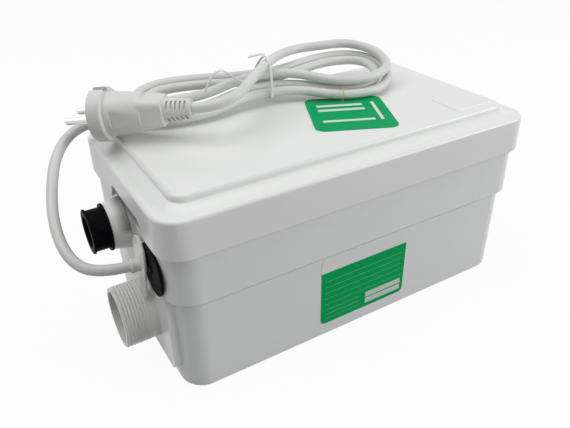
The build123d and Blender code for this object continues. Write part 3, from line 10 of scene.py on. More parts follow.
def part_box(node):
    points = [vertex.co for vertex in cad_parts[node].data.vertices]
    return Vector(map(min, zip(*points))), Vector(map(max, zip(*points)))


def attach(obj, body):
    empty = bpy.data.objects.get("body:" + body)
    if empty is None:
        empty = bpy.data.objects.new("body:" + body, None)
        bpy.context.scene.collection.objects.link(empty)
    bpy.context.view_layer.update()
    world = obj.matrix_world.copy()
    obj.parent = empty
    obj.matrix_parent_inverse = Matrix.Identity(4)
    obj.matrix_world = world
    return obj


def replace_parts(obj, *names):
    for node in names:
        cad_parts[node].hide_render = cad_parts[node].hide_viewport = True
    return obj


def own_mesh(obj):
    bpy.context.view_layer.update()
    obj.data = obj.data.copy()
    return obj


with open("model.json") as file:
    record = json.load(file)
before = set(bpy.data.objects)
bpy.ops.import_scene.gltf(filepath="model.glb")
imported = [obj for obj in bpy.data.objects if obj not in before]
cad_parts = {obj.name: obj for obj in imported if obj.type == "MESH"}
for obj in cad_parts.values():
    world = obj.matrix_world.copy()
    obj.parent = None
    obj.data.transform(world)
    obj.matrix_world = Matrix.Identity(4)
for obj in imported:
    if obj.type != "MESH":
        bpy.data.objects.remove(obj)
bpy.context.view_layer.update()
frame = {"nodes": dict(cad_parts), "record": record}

bl_info = {
    "name": "Lifting box dressing",
    "version": (1, 0, 0),
    "blender": (4, 5, 0),
    "location": "View3D > Sidebar > Lifting box",
    "description": "Dresses the packed lifting box with its mouldings, fittings, cord, plug, label and tag",
    "category": "Object",
}

HOUSING = "housing"
MM = 0.001

# The lid's top, which the cord's heights are taken from
TOP = 144.5 * MM

# How a CAD mesh is welded, flattened and rounded
WELD_REACH = 0.002 * MM
FLAT_TURN = math.radians(0.4)
SHARP_TURN = math.radians(32.0)
EDGE_STEPS = 2

# The radius on the sharp edges of the smaller pieces
COLLAR_EDGE = 0.6 * MM
SLEEVE_EDGE = 0.4 * MM
GROMMET_EDGE = 0.4 * MM
INLET_EDGE = 0.5 * MM
PLATE_EDGE = 0.5 * MM
CAP_EDGE = 0.5 * MM
SPRING_EDGE = 0.05 * MM
PLUG_EDGE = 0.6 * MM
BOOT_EDGE = 0.3 * MM
PIN_EDGE = 0.3 * MM
CLIP_EDGE = 0.2 * MM
PAPER_EDGE = 0.08 * MM

# How much the rubber and the printed sheets shine
RUBBER_SHINE = 0.012
PRINT_SHINE = 0.03

# Painted shade on the end wall: dark in the gap behind the lid's cut-out, lighter below it
GAP_FACE = -144.0 * MM
GAP_LEFT = -47.0 * MM
GAP_RIGHT = 16.0 * MM
GAP_LOW = 110.4 * MM
GAP_TOP = 123.0 * MM
GAP_LEAN = 0.7
GAP_SHADE_TONE = 0.28
SHADE_LEFT = -25.0 * MM
SHADE_LOW = 88.0 * MM
SHADE_TONE = 0.62

# The shade on the outlet's collar, deepening toward the wall
OUTLET_PLACE = (7.5 * MM, 94.7 * MM)
SHADE_REACH = 19.0 * MM
SHADE_START = -153.5 * MM
SHADE_DEPTH = 6.0 * MM
SHADE_RISE = (-0.9, 0.2)
COLLAR_SHADE_TONE = 0.30

# The inlet's thread
INLET_AXIS = Vector((0, -24.0 * MM, 43.0 * MM))
INLET_END = -168.0 * MM
THREAD_START = 0.9 * MM
THREAD_STEPS = 64
RIDGE_CORNERS = 6

# The thin gland plate and the blanking cap behind it
WALL_X = -145.1 * MM
PLATE_Y = -36.0 * MM
PLATE_TOP_CENTRE = 97.0 * MM
PLATE_TOP_RADIUS = 10.5 * MM
PLATE_LOW_CENTRE = 67.5 * MM
PLATE_LOW_RADIUS = 5.0 * MM
PLATE_FACE_TOP = -149.1 * MM
PLATE_FACE_LOW = -150.7 * MM
PLATE_THICK = 1.7 * MM
NECK_PLACE = (-35.0 * MM, 87.5 * MM)
NECK_RADIUS = 7.0 * MM
CAP_PLACE = (-50.0 * MM, 90.6 * MM)
CAP_RADIUS = 17.5 * MM
CAP_THICK = 1.9 * MM
BITE_GAP = 0.3 * MM
PIP_RADIUS = CAP_RADIUS * 0.16
PIP_FRONT = CAP_THICK * 1.5
PIP_BACK = CAP_THICK * 0.8
PLATE_TOP_STEPS = 28
PLATE_LOW_STEPS = 16
NECK_STEPS = 40
CAP_STEPS = 56
BITE_STEPS = 20
PIP_STEPS = 20

# The free cord, its route points as the part's source has them, heights from the lid's top
CORD_EXIT = Vector((-156.0 * MM, -35.0 * MM, 87.5 * MM))
EXIT_RISE = math.radians(5.0)
EXIT_RUN = 19.0 * MM
TAIL_END_RUN = 16.0 * MM
LEAD_START_RUN = 14.0 * MM
PLUG_RUN = 13.0 * MM
CORD_STEPS = 10
LINE_STEPS = 8
STRAIGHT = 0.000001
TAIL_ROUTE = (
    (-188.5, -24.0, -48.2),
    (-190.5, -1.0, -35.5),
    (-184.5, 21.0, -19.5),
    (-174.0, 41.0, -4.0),
    (-157.0, 56.5, 4.0),
    (-136.0, 60.0, 5.0),
    (-117.5, 48.0, 4.3),
)
LEAD_ROUTE = (
    (32.0, 68.0, 27.5),
    (10.0, 58.0, 28.5),
    (-14.0, 37.0, 30.0),
    (-37.0, 12.5, 31.0),
    (-56.1, -6.1, 29.2),
    (-67.8, -9.7, 26.6),
)

# The hank's loops, as the part's source has them
HANK_CENTRE = Vector((-12.0 * MM, 44.0 * MM, 0))
HANK_TURN = math.radians(-9.0)
HANK_TILT = math.radians(14.0)
HANK_FRONT = 33.0 * MM
HANK_LIFT = 0.95 * MM
HANK_PITCH = 9.0 * MM
HANK_LAYER = 8.2 * MM
STATION_PLACES = (
    (-70.0, -28.0, 1, 0),
    (0.0, -14.0, 1, 0),
    (72.0, -35.0, 1, 0),
    (108.0, 0.0, 0, 1),
    (72.0, 31.0, -1, 0),
    (0.0, 21.0, -1, 0),
    (-70.0, 28.0, -1, 0),
    (-107.0, 0.0, 0, -1),
)
LOOPS_IN = 2
INWARD_STATIONS = LOOPS_IN * len(STATION_PLACES)
OUTWARD_STATIONS = len(STATION_PLACES) // 2
CLIMB_STATIONS = 2

# The twist tie, in the hank's own frame
TIE_LOOP = ((-18.0, -5.0), (20.5, -5.0), (20.5, 3.0), (3.0, 24.0), (-9.0, 24.0), (-18.0, 4.0))
TIE_TAILS = (
    (
        (0.0, -8.0, 23.5),
        (-9.0, -11.0, 17.0),
        (-20.0, -14.0, 12.0),
        (-29.0, -14.0, 17.5),
        (-37.0, -14.0, 26.0),
        (-44.5, -14.0, 24.5),
        (-49.0, -13.5, 15.0),
        (-50.5, -13.0, 9.5),
    ),
    ((0.0, 2.0, 24.0), (-5.0, 4.0, 24.6), (-12.0, 5.0, 21.5)),
)
HALF_STRIP = ((1.1, 0.25), (0.5, 0.42), (-0.5, 0.42), (-1.1, 0.25))

# The tag's string: strands laid round its ring
STRING_RADIUS = 0.4 * MM
STRING_STEPS = 96
STRING_TWISTS = 14
STRAND_COUNT = 2
STRAND_REACH = 0.20 * MM
STRAND_RADIUS = 0.21 * MM
STRAND_CORNERS = 6

# The label's plain print in millimetres: left, right and the low edge of each row
FIELD_TOP = 58.6
LONG_RULES = (-34.5, 34.5, (50.5, 45.4, 40.3, 35.2, 30.1))
SHORT_RULES = (-33.0, -4.0, (25.0, 21.0, 17.0))
RULE_THICK = 0.25
RULE_STRENGTH = 0.45
EMPTY_BOXES = (2.0, 35.0, (16.4, 22.0))
BOX_HEIGHT = 4.6

# The tag's plain bars in millimetres: left, right, low and high
TAG_TURN = math.radians(24.5)
TAG_BARS = (
    (8.0, 43.0, 8.0, 12.0),
    (8.0, 43.0, -1.0, 3.0),
    (8.0, 46.0, -22.0, -18.5),
    (50.0, 52.5, -22.0, 14.0),
)

# The plug
PLUG_FACE = Vector((-142.3 * MM, 40.2 * MM, TOP + 16.9 * MM))
PLUG_AXIS = Vector((0.79, -0.605, 0.09)).normalized()
PLUG_LENGTH = 66.0 * MM

# The camera that took the photograph
IMAGE_SIZE = (570, 428)
IMAGE_CENTRE = (279.5, 196.8)
FOCAL_PIXELS = 587.54
SENSOR = 36.0
CAMERA_PLACE = Vector((-222.1 * MM, -344.4 * MM, 304.4 * MM))
CAMERA_AZIMUTH = math.radians(29.63)
CAMERA_DOWN = math.radians(29.41)
CAMERA_ROLL = math.radians(-1.71)

# The studio: each lamp's place and size in metres, and the floor
LAMPS = {
    "top": ((-0.4, 0.2, 1.4), 1.3),
    "front": ((1.6, -1.3, 0.8), 1.2),
    "left": ((-1.3, 0.2, 1.0), 0.8),
}
LAMP_AIM = Vector((0, 0, 0.08))
FLOOR_REACH = 6.0
PAPER_DARK = (0.29, 0.29, 0.29)
PAPER_LIGHT = (0.31, 0.31, 0.31)
FLOOR_GLOW = 1.1
FLOOR_SHOWN = 0.86


class Wire:
    """A shader socket. Arithmetic and comparisons on it add Math nodes."""

    def __init__(self, finish, socket):
        self.finish = finish
        self.socket = socket

    def other(self, output):
        """Another output of the same node."""
        return Wire(self.finish, self.socket.node.outputs[output])

    def __add__(self, value):
        return self.finish.maths("ADD", self, value)

    __radd__ = __add__

    def __mul__(self, value):
        return self.finish.maths("MULTIPLY", self, value)

    def __sub__(self, value):
        return self.finish.maths("SUBTRACT", self, value)

    def __truediv__(self, value):
        return self.finish.maths("DIVIDE", self, value)

    def __gt__(self, value):
        return self.finish.maths("GREATER_THAN", self, value)

    def __lt__(self, value):
        return self.finish.maths("LESS_THAN", self, value)


class Finish:
    """A material under construction."""

    def __init__(self, name):
        self.material = bpy.data.materials.new(name)
        self.material.use_nodes = True
        self.tree = self.material.node_tree
        self.tree.nodes.clear()
        self.place = self.node("ShaderNodeTexCoord", {}, {}, "Object")

    def node(self, kind, settings, sockets, output=0):
        """Adds a node: its settings first, then the values or links of its sockets."""
        made = self.tree.nodes.new(kind)
        for name, value in settings.items():
            if name == "stops":
                self.set_stops(made.color_ramp, value)
            else:
                setattr(made, name, value)
        for name, value in sockets.items():
            if isinstance(value, Wire):
                self.tree.links.new(value.socket, made.inputs[name])
            else:
                made.inputs[name].default_value = value
        return Wire(self, made.outputs[output]) if len(made.outputs) else None

    def set_stops(self, ramp, stops):
        for element, (position, value) in zip(ramp.elements, stops):
            element.position = position
            element.color = (value, value, value, 1)

    def maths(self, operation, first, second):
        return self.node("ShaderNodeMath", {"operation": operation}, {0: first, 1: second})

    def axes(self):
        """The X, Y and Z of the place on the piece."""
        x = self.node("ShaderNodeSeparateXYZ", {}, {0: self.place}, "X")
        return x, x.other("Y"), x.other("Z")

    def mix(self, share, first, second):
        """One colour passing into another."""
        colours = [tuple(c) + (1,) if isinstance(c, tuple) else c for c in (first, second)]
        return self.node(
            "ShaderNodeMix", {"data_type": "RGBA"}, {0: share, 6: colours[0], 7: colours[1]}, 2
        )

    def noise(self, scale, detail=3.0, stretch=(1, 1, 1)):
        place = self.node(
            "ShaderNodeVectorMath", {"operation": "MULTIPLY"}, {0: self.place, 1: stretch}
        )
        sockets = {"Vector": place, "Scale": scale, "Detail": detail}
        return self.node("ShaderNodeTexNoise", {}, sockets, "Fac")

    def step(self, value, low, high):
        """Zero below one value and one above another."""
        settings = {"stops": ((low, 0), (high, 1))}
        return self.node("ShaderNodeValToRGB", settings, {0: value})

    def bands(self, scale, direction, distortion=0.0):
        settings = {"wave_type": "BANDS", "bands_direction": direction}
        sockets = {"Vector": self.place, "Scale": scale, "Distortion": distortion}
        return self.node("ShaderNodeTexWave", settings, sockets, "Fac")

    def shade(self, colour, roughness, height=None, **constants):
        """Closes the material with one surface shader. The height is in metres."""
        sockets = {"Base Color": colour, "Roughness": roughness}
        if isinstance(colour, tuple):
            sockets["Base Color"] = colour + (1,)
        if height is not None:
            bump = {"Height": height, "Distance": 1.0, "Strength": 1.0}
            sockets["Normal"] = self.node("ShaderNodeBump", {}, bump, "Normal")
        sockets.update({name.replace("_", " "): value for name, value in constants.items()})
        surface = self.node("ShaderNodeBsdfPrincipled", {}, sockets)
        self.node("ShaderNodeOutputMaterial", {}, {"Surface": surface})
        return self.material


def darker(colour, share):
    return tuple(channel * share for channel in colour)


def moulded(name, colour, roughness, wave, grain):
    finish = Finish(name)
    return finish.shade(*moulded_look(finish, colour, roughness, wave, grain))


def moulded_look(finish, colour, roughness, wave, grain):
    """Injection-moulded plastic: slow waves, a fine grain and thin scuffs."""
    slow = finish.noise(14.0, 2.0)
    cloud = finish.noise(85.0, 4.0)
    fine = finish.noise(2400.0, 2.0)
    long_marks = finish.step(finish.noise(60.0, 6.0, (1, 24, 3)), 0.66, 0.72)
    cross_marks = finish.step(finish.noise(70.0, 6.0, (22, 1, 5)), 0.68, 0.74)
    marks = long_marks * cloud + cross_marks * slow
    tint = finish.mix(cloud * 0.5 + slow * 0.5, darker(colour, 0.965), colour)
    tint = finish.mix(marks * 0.12, tint, darker(colour, 0.86))
    gloss = roughness + (cloud - 0.5) * 0.10 + marks * 0.16
    return tint, gloss, slow * wave + fine * grain - marks * 0.000004


def rubber(name, colour, roughness):
    """Moulded rubber: a dusty bloom and a soft grain."""
    finish = Finish(name)
    bloom = finish.noise(220.0, 5.0)
    fine = finish.noise(3000.0, 2.0)
    tint = finish.mix(finish.step(bloom, 0.42, 0.72), colour, tuple(c + 0.006 for c in colour))
    height = bloom * 0.00002 + fine * 0.000008
    return finish.shade(tint, roughness + bloom * 0.14, height, Specular_IOR_Level=RUBBER_SHINE)


def worked_metal(name, colour, roughness, stretch):
    """Metal with tool marks drawn out along one way, and dull patches."""
    finish = Finish(name)
    lines = finish.noise(900.0, 3.0, stretch)
    patches = finish.noise(120.0, 4.0)
    tint = finish.mix(patches, darker(colour, 0.84), colour)
    gloss = roughness + lines * 0.16 + patches * 0.08
    return finish.shade(tint, gloss, lines * 0.000005, Metallic=1.0)


def tank_plastic(name):
    """The box's plastic, with painted shade: dark in the gap behind the lid's cut-out and lighter below it.
    """
    finish = Finish(name)
    colour = tuple(bpy.context.scene.mouldings.tank_colour)
    tint, gloss, height = moulded_look(finish, colour, 0.33, 0.00011, 0.0000022)
    x, y, z = finish.axes()
    rise = (z - GAP_LOW) / MM
    left = GAP_LEFT / MM + rise * GAP_LEAN
    # Painted shade, dark in the gap behind the lid's cut-out
    gap = (x < GAP_FACE) * (y / MM > left) * (y < GAP_RIGHT) * (rise > 0) * (z < GAP_TOP)
    # and a lighter painted shade on the wall below the gap
    below = (x < GAP_FACE) * (y > SHADE_LEFT) * (y < GAP_RIGHT) * (rise < 0) * (z > SHADE_LOW)
    tint = finish.mix(below, tint, darker(colour, SHADE_TONE))
    return finish.shade(finish.mix(gap, tint, darker(colour, GAP_SHADE_TONE)), gloss, height)


def lid_plastic(name):
    return moulded(name, tuple(bpy.context.scene.mouldings.lid_colour), 0.30, 0.00010, 0.0000020)


def fitting_plastic(name):
    """The fittings' plastic, with painted shade where the outlet's collar goes under the lid."""
    finish = Finish(name)
    colour = (0.735, 0.735, 0.700)
    tint, gloss, height = moulded_look(finish, colour, 0.36, 0.00006, 0.0000030)
    x, y, z = finish.axes()
    side = y - OUTLET_PLACE[0]
    rise = z - OUTLET_PLACE[1]
    near = side * side + rise * rise < SHADE_REACH**2
    deep = finish.step(x / SHADE_DEPTH - SHADE_START / SHADE_DEPTH, 0.0, 1.0)
    high = finish.step(rise / SHADE_REACH, *SHADE_RISE)
    # Painted shade on the collar's upper side, deepening toward the wall
    shaded = finish.mix(near * deep * high, tint, darker(colour, COLLAR_SHADE_TONE))
    return finish.shade(shaded, gloss, height)


def black_rubber(name):
    return rubber(name, (0.0045, 0.0045, 0.0065), 0.36)


def grey_rubber(name):
    return rubber(name, (0.26, 0.26, 0.27), 0.52)


def cord_sheath(name):
    """Soft white sheath, a little cloudy, with shallow dents."""
    finish = Finish(name)
    cloud = finish.noise(160.0, 3.0)
    dents = finish.noise(70.0, 2.0)
    fine = finish.noise(2600.0, 2.0)
    colour = tuple(bpy.context.scene.cord.colour)
    tint = finish.mix(cloud, darker(colour, 0.95), colour)
    height = dents * 0.00016 + fine * 0.000003
    return finish.shade(tint, 0.34 + cloud * 0.12, height)


def plug_plastic(name):
    return moulded(name, (0.660, 0.660, 0.645), 0.42, 0.00005, 0.0000070)


def nickel(name):
    return worked_metal(name, (0.71, 0.70, 0.67), 0.16, (1, 1, 6))


def steel(name):
    return worked_metal(name, (0.56, 0.57, 0.58), 0.26, (1, 1, 12))


def spring_steel(name):
    return worked_metal(name, (0.50, 0.50, 0.51), 0.30, (8, 8, 1))


def aluminium(name):
    """Cast and lightly blasted."""
    finish = Finish(name)
    skin = finish.noise(1300.0, 4.0)
    patches = finish.noise(60.0, 3.0)
    tint = finish.mix(patches, (0.55, 0.56, 0.57), (0.66, 0.67, 0.68))
    return finish.shade(tint, 0.42 + skin * 0.2, skin * 0.00003, Metallic=1.0)


def capacitor_can(name):
    return worked_metal(name, (0.70, 0.70, 0.71), 0.24, (14, 1, 14))


def laminations(name):
    """Stacked sheet steel, seen as fine lines round the core."""
    finish = Finish(name)
    sheets = finish.bands(480.0, "Z")
    rust = finish.step(finish.noise(110.0, 5.0), 0.58, 0.78)
    tint = finish.mix(sheets, (0.17, 0.17, 0.18), (0.33, 0.33, 0.34))
    tint = finish.mix(rust * 0.5, tint, (0.22, 0.12, 0.07))
    return finish.shade(tint, 0.45 + rust * 0.3, sheets * 0.00006, Metallic=0.9)


def copper(name):
    """Varnished winding wire, laid side by side."""
    finish = Finish(name)
    wires = finish.bands(520.0, "DIAGONAL", 1.5)
    varnish = finish.noise(180.0, 3.0)
    tint = finish.mix(wires, (0.23, 0.075, 0.022), (0.56, 0.23, 0.085))
    tint = finish.mix(varnish * 0.3, tint, (0.18, 0.06, 0.02))
    return finish.shade(tint, 0.26 + varnish * 0.12, wires * 0.00014, Metallic=0.75)


def pump_plastic(name):
    return moulded(name, (0.070, 0.075, 0.080), 0.44, 0.00008, 0.0000090)


def impeller_plastic(name):
    return moulded(name, (0.50, 0.42, 0.24), 0.40, 0.00006, 0.0000060)


def switch_plastic(name):
    return moulded(name, (0.030, 0.030, 0.034), 0.38, 0.00005, 0.0000060)


def box_plastic(name):
    return moulded(name, (0.42, 0.43, 0.44), 0.45, 0.00007, 0.0000080)


def filter_carbon(name):
    """Open-pored carbon block."""
    finish = Finish(name)
    sockets = {"Vector": finish.place, "Scale": 900.0}
    pores = finish.node("ShaderNodeTexVoronoi", {"feature": "F1"}, sockets, "Distance")
    tint = finish.mix(pores, (0.010, 0.010, 0.011), (0.060, 0.060, 0.062))
    return finish.shade(tint, 0.85, pores * 0.00035)


def yarn(name):
    finish = Finish(name)
    fibres = finish.noise(2500.0, 3.0, (1, 1, 3))
    tint = finish.mix(fibres, (0.60, 0.36, 0.02), (0.90, 0.66, 0.10))
    return finish.shade(tint, 0.72, fibres * 0.00005)


def tie_plastic(name):
    return moulded(name, (0.760, 0.760, 0.745), 0.34, 0.00003, 0.0000040)


def bar(across, up, left, right, low, high):
    """One inside a rectangle of the sheet and zero outside it."""
    return (across > left) * (across < right) * (up > low) * (up < high)


def bars(across, up, rows, thick):
    """Bars of one width and thickness, one above another."""
    left, right, lows = rows
    return sum(bar(across, up, left, right, low, low + thick) for low in lows)


def label_film(name):
    """Printed film: a pale strip above a green field with thin ruled lines and two empty boxes."""
    finish = Finish(name)
    x, _, z = finish.axes()
    across = x / MM
    up = z / MM
    field = up < FIELD_TOP
    ink = finish.noise(420.0, 4.0)
    green = finish.mix(ink, (0.000, 0.350, 0.095), (0.002, 0.415, 0.118))
    tint = finish.mix(field, (0.80, 0.82, 0.80), green)
    thin = bars(across, up, LONG_RULES, RULE_THICK) + bars(across, up, SHORT_RULES, RULE_THICK)
    rules = thin * RULE_STRENGTH + bars(across, up, EMPTY_BOXES, BOX_HEIGHT)
    tint = finish.mix(rules, tint, (0.66, 0.70, 0.66))
    gloss = 0.30 + ink * 0.10
    height = ink * 0.000012 + rules * 0.000006
    return finish.shade(tint, gloss, height, Specular_IOR_Level=PRINT_SHINE)


def tag_card(name):
    """Coated green card with four plain pale bars."""
    finish = Finish(name)
    x, y, _ = finish.axes()
    across = (x * math.cos(TAG_TURN) - y * math.sin(TAG_TURN)) / MM
    up = (x * math.sin(TAG_TURN) + y * math.cos(TAG_TURN)) / MM
    rules = sum(bar(across, up, *edges) for edges in TAG_BARS)
    ink = finish.noise(500.0, 5.0)
    sheen = finish.noise(40.0, 2.0)
    tint = finish.mix(ink * 0.6 + sheen * 0.4, (0.000, 0.300, 0.095), (0.004, 0.390, 0.130))
    tint = finish.mix(rules, tint, (0.66, 0.74, 0.68))
    height = sheen * 0.00012 + ink * 0.000010
    return finish.shade(tint, 0.36 + ink * 0.12, height, Specular_IOR_Level=PRINT_SHINE)


FINISHES = {
    "tank_plastic": tank_plastic,
    "lid_plastic": lid_plastic,
    "fitting_plastic": fitting_plastic,
    "black_rubber": black_rubber,
    "grey_rubber": grey_rubber,
    "cord_sheath": cord_sheath,
    "plug_plastic": plug_plastic,
    "nickel": nickel,
    "label_film": label_film,
    "tag_card": tag_card,
    "string": yarn,
    "tie": tie_plastic,
    "pump_plastic": pump_plastic,
    "impeller_plastic": impeller_plastic,
    "steel": steel,
    "laminations": laminations,
    "copper": copper,
    "aluminium": aluminium,
    "spring_steel": spring_steel,
    "switch_plastic": switch_plastic,
    "box_plastic": box_plastic,
    "capacitor_can": capacitor_can,
    "filter_carbon": filter_carbon,
}


def finish_named(slot):
    """The material of one slot of the record, made when it is first asked for."""
    name = "finish_" + slot
    return bpy.data.materials.get(name) or FINISHES[slot](name)


def slot_of(node):
    return next(
        row["material_slot"] for row in frame["record"]["subparts"] if row["node"] == node
    )


def body_of(node):
    bodies = frame["record"]["behaviour"]["bodies"]
    return next(body for body, nodes in bodies.items() if node in nodes)


def add_piece(name, mesh, slot, body=HOUSING):
    """Puts a finished mesh in the scene, riding on its body."""
    piece = bpy.data.objects.new(name, mesh)
    bpy.context.scene.collection.objects.link(piece)
    if not mesh.materials:
        mesh.materials.append(finish_named(slot))
    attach(piece, body)
    return piece


def plain_mesh(worker):
    """The evaluated mesh of a helper object, which is then removed."""
    graph = bpy.context.evaluated_depsgraph_get()
    mesh = bpy.data.meshes.new_from_object(worker.evaluated_get(graph))
    bpy.data.objects.remove(worker)
    return mesh


def rounded(mesh, edge):
    """A mesh with its sharp edges rounded by a small radius."""
    mesh.shade_smooth()
    mesh.set_sharp_from_angle(angle=SHARP_TURN)
    worker = bpy.data.objects.new("rounded", mesh)
    bpy.context.scene.collection.objects.link(worker)
    rounding = worker.modifiers.new("edge", "BEVEL")
    rounding.width = edge
    rounding.segments = EDGE_STEPS
    rounding.limit_method = "ANGLE"
    rounding.angle_limit = SHARP_TURN
    rounding.harden_normals = True
    rounding.miter_outer = "MITER_ARC"
    return plain_mesh(worker)


def softened(node, edge):
    """A CAD node's mesh, welded, with its sharp edges rounded."""
    working = bmesh.new()
    working.from_mesh(frame["nodes"][node].data)
    bmesh.ops.remove_doubles(working, verts=working.verts, dist=WELD_REACH)
    bmesh.ops.dissolve_limit(
        working, angle_limit=FLAT_TURN, verts=working.verts, edges=working.edges
    )
    bmesh.ops.recalc_face_normals(working, faces=working.faces)
    mesh = bpy.data.meshes.new(node + "_work")
    working.to_mesh(mesh)
    working.free()
    if "custom_normal" in mesh.attributes:
        mesh.attributes.remove(mesh.attributes["custom_normal"])
    mesh.materials.clear()
    return rounded(mesh, edge)


def soften_node(node, name, edge):
    """Replaces a CAD node with the same form, its edges rounded."""
    piece = add_piece(name, softened(node, edge), slot_of(node), body_of(node))
    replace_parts(piece, node)
    return piece


def arc(centre, radius, start, end, count):
    """Points on an arc in the end wall's plane, as Y and Z, its angles in radians."""
    turns = [start + (end - start) * step / count for step in range(count + 1)]
    return [
        (centre[0] + radius * math.cos(turn), centre[1] + radius * math.sin(turn)) for turn in turns
    ]


def slab(working, outline, front, back):
    """Adds a slab to the mesh, its outline in Y and Z, its faces at the X given for each height."""
    near = [working.verts.new((front(z), y, z)) for y, z in outline]
    far = [working.verts.new((back(z), y, z)) for y, z in outline]
    working.faces.new(near)
    working.faces.new(reversed(far))
    for index in range(len(outline)):
        after = (index + 1) % len(outline)
        working.faces.new((near[after], near[index], far[index], far[after]))


def plate_face(z):
    """The X of the leaning plate's face at one height."""
    top = PLATE_TOP_CENTRE + PLATE_TOP_RADIUS
    low = PLATE_LOW_CENTRE - PLATE_LOW_RADIUS
    return PLATE_FACE_LOW + (PLATE_FACE_TOP - PLATE_FACE_LOW) * (z - low) / (top - low)


def plate_outline():
    """Egg-shaped outline: two arcs joined by their tangents."""
    lean = math.asin((PLATE_TOP_RADIUS - PLATE_LOW_RADIUS) / (PLATE_TOP_CENTRE - PLATE_LOW_CENTRE))
    top = (PLATE_Y, PLATE_TOP_CENTRE)
    low = (PLATE_Y, PLATE_LOW_CENTRE)
    over = arc(top, PLATE_TOP_RADIUS, -lean, math.pi + lean, PLATE_TOP_STEPS)
    under = arc(low, PLATE_LOW_RADIUS, math.pi + lean, 2 * math.pi - lean, PLATE_LOW_STEPS)
    return over + under


def mesh_of(working):
    """The finished mesh of a bmesh, its faces turned outward."""
    bmesh.ops.recalc_face_normals(working, faces=working.faces)
    mesh = bpy.data.meshes.new("work")
    working.to_mesh(mesh)
    working.free()
    return mesh


def gland_mesh():
    """The thin plate, held off the wall by a neck round the cord."""
    working = bmesh.new()
    slab(working, plate_outline(), plate_face, lambda z: plate_face(z) + PLATE_THICK)
    neck = arc(NECK_PLACE, NECK_RADIUS, 0, 2 * math.pi, NECK_STEPS)[:-1]
    slab(working, neck, lambda z: plate_face(z) + PLATE_THICK / 2, lambda z: WALL_X)
    return rounded(mesh_of(working), PLATE_EDGE)


def cap_outline():
    """A circle with a bite round the plate's neck."""
    span = Vector(NECK_PLACE) - Vector(CAP_PLACE)
    bite = NECK_RADIUS + BITE_GAP
    toward = math.atan2(span.y, span.x)
    cap_turn = math.acos(
        (CAP_RADIUS**2 + span.length**2 - bite**2) / (2 * CAP_RADIUS * span.length)
    )
    bite_turn = math.acos((bite**2 + span.length**2 - CAP_RADIUS**2) / (2 * bite * span.length))
    rim_end = toward + 2 * math.pi - cap_turn
    rim = arc(CAP_PLACE, CAP_RADIUS, toward + cap_turn, rim_end, CAP_STEPS)
    away = toward + math.pi
    notch = arc(NECK_PLACE, bite, away + bite_turn, away - bite_turn, BITE_STEPS)
    return rim + notch[1:-1]


def cap_mesh():
    """A flat cap against the wall, with a small pip at its centre."""
    working = bmesh.new()
    slab(working, cap_outline(), lambda z: WALL_X - CAP_THICK, lambda z: WALL_X)
    pip = arc(CAP_PLACE, PIP_RADIUS, 0, 2 * math.pi, PIP_STEPS)[:-1]
    slab(working, pip, lambda z: WALL_X - PIP_FRONT, lambda z: WALL_X - PIP_BACK)
    return rounded(mesh_of(working), CAP_EDGE)


def spline_object(points, cyclic=False, resolution=LINE_STEPS):
    """A curve of one smooth spline with these control points."""
    curve = bpy.data.curves.new("route", "CURVE")
    curve.dimensions = "3D"
    curve.resolution_u = resolution
    spline = curve.splines.new("NURBS")
    spline.points.add(len(points) - 1)
    for target, point in zip(spline.points, points):
        target.co = (*point, 1)
    spline.use_cyclic_u = cyclic
    spline.order_u = 3
    spline.use_endpoint_u = not cyclic
    route = bpy.data.objects.new("route", curve)
    bpy.context.scene.collection.objects.link(route)
    return route


def line_on(points, cyclic=False):
    """Points along the smooth spline, in order."""
    mesh = plain_mesh(spline_object(points, cyclic))
    line = [vertex.co.copy() for vertex in mesh.vertices]
    bpy.data.meshes.remove(mesh)
    return line


def swept(line, profile, side, closed=False):
    """A strip of one profile along a line, its first axis kept toward one side."""
    working = bmesh.new()
    rings = []
    count = len(line)
    for index, point in enumerate(line):
        before = line[index - 1] if closed or index else point
        after = line[(index + 1) % count] if closed or index + 1 < count else point
        along = (after - before).normalized()
        first = (side - along * side.dot(along)).normalized()
        second = along.cross(first)
        rings.append([working.verts.new(point + first * u + second * v) for u, v in profile])
    pairs = list(zip(rings, rings[1:]))
    if closed:
        pairs.append((rings[-1], rings[0]))
    for near, far in pairs:
        for corner in range(len(profile)):
            following = (corner + 1) % len(profile)
            working.faces.new((near[corner], near[following], far[following], far[corner]))
    if not closed:
        working.faces.new(rings[0])
        working.faces.new(reversed(rings[-1]))
    mesh = mesh_of(working)
    mesh.shade_smooth()
    return mesh


def joined(name, meshes):
    """Several meshes as one."""
    working = bmesh.new()
    for mesh in meshes:
        working.from_mesh(mesh)
        bpy.data.meshes.remove(mesh)
    made = bpy.data.meshes.new(name)
    working.to_mesh(made)
    working.free()
    made.shade_smooth()
    return made


def round_profile(radius, corners):
    """A circle of points."""
    turns = [2 * math.pi * corner / corners for corner in range(corners)]
    return [(radius * math.cos(turn), radius * math.sin(turn)) for turn in turns]


def hank_axes():
    """The hank's centre and its own X, Y and Z."""
    along = Vector((math.cos(HANK_TURN), math.sin(HANK_TURN), 0))
    flat_across = Vector((-math.sin(HANK_TURN), math.cos(HANK_TURN), 0))
    across = flat_across * math.cos(HANK_TILT) + Vector((0, 0, math.sin(HANK_TILT)))
    radius = bpy.context.scene.cord.diameter / 2
    centre = HANK_CENTRE.copy()
    centre.z = TOP + radius + HANK_LIFT + HANK_FRONT * math.sin(HANK_TILT)
    return centre, along, across, along.cross(across)


def in_hank(x, y, z):
    """A point given in the hank's own frame."""
    centre, along, across, upward = hank_axes()
    return centre + along * x + across * y + upward * z


def drawn_in(index):
    """Two loops spiral inward, then the last half loop comes back out."""
    if index < INWARD_STATIONS:
        return HANK_PITCH * index / len(STATION_PLACES)
    share = (index - INWARD_STATIONS) / OUTWARD_STATIONS
    return max(0, HANK_PITCH * LOOPS_IN * (1 - share))


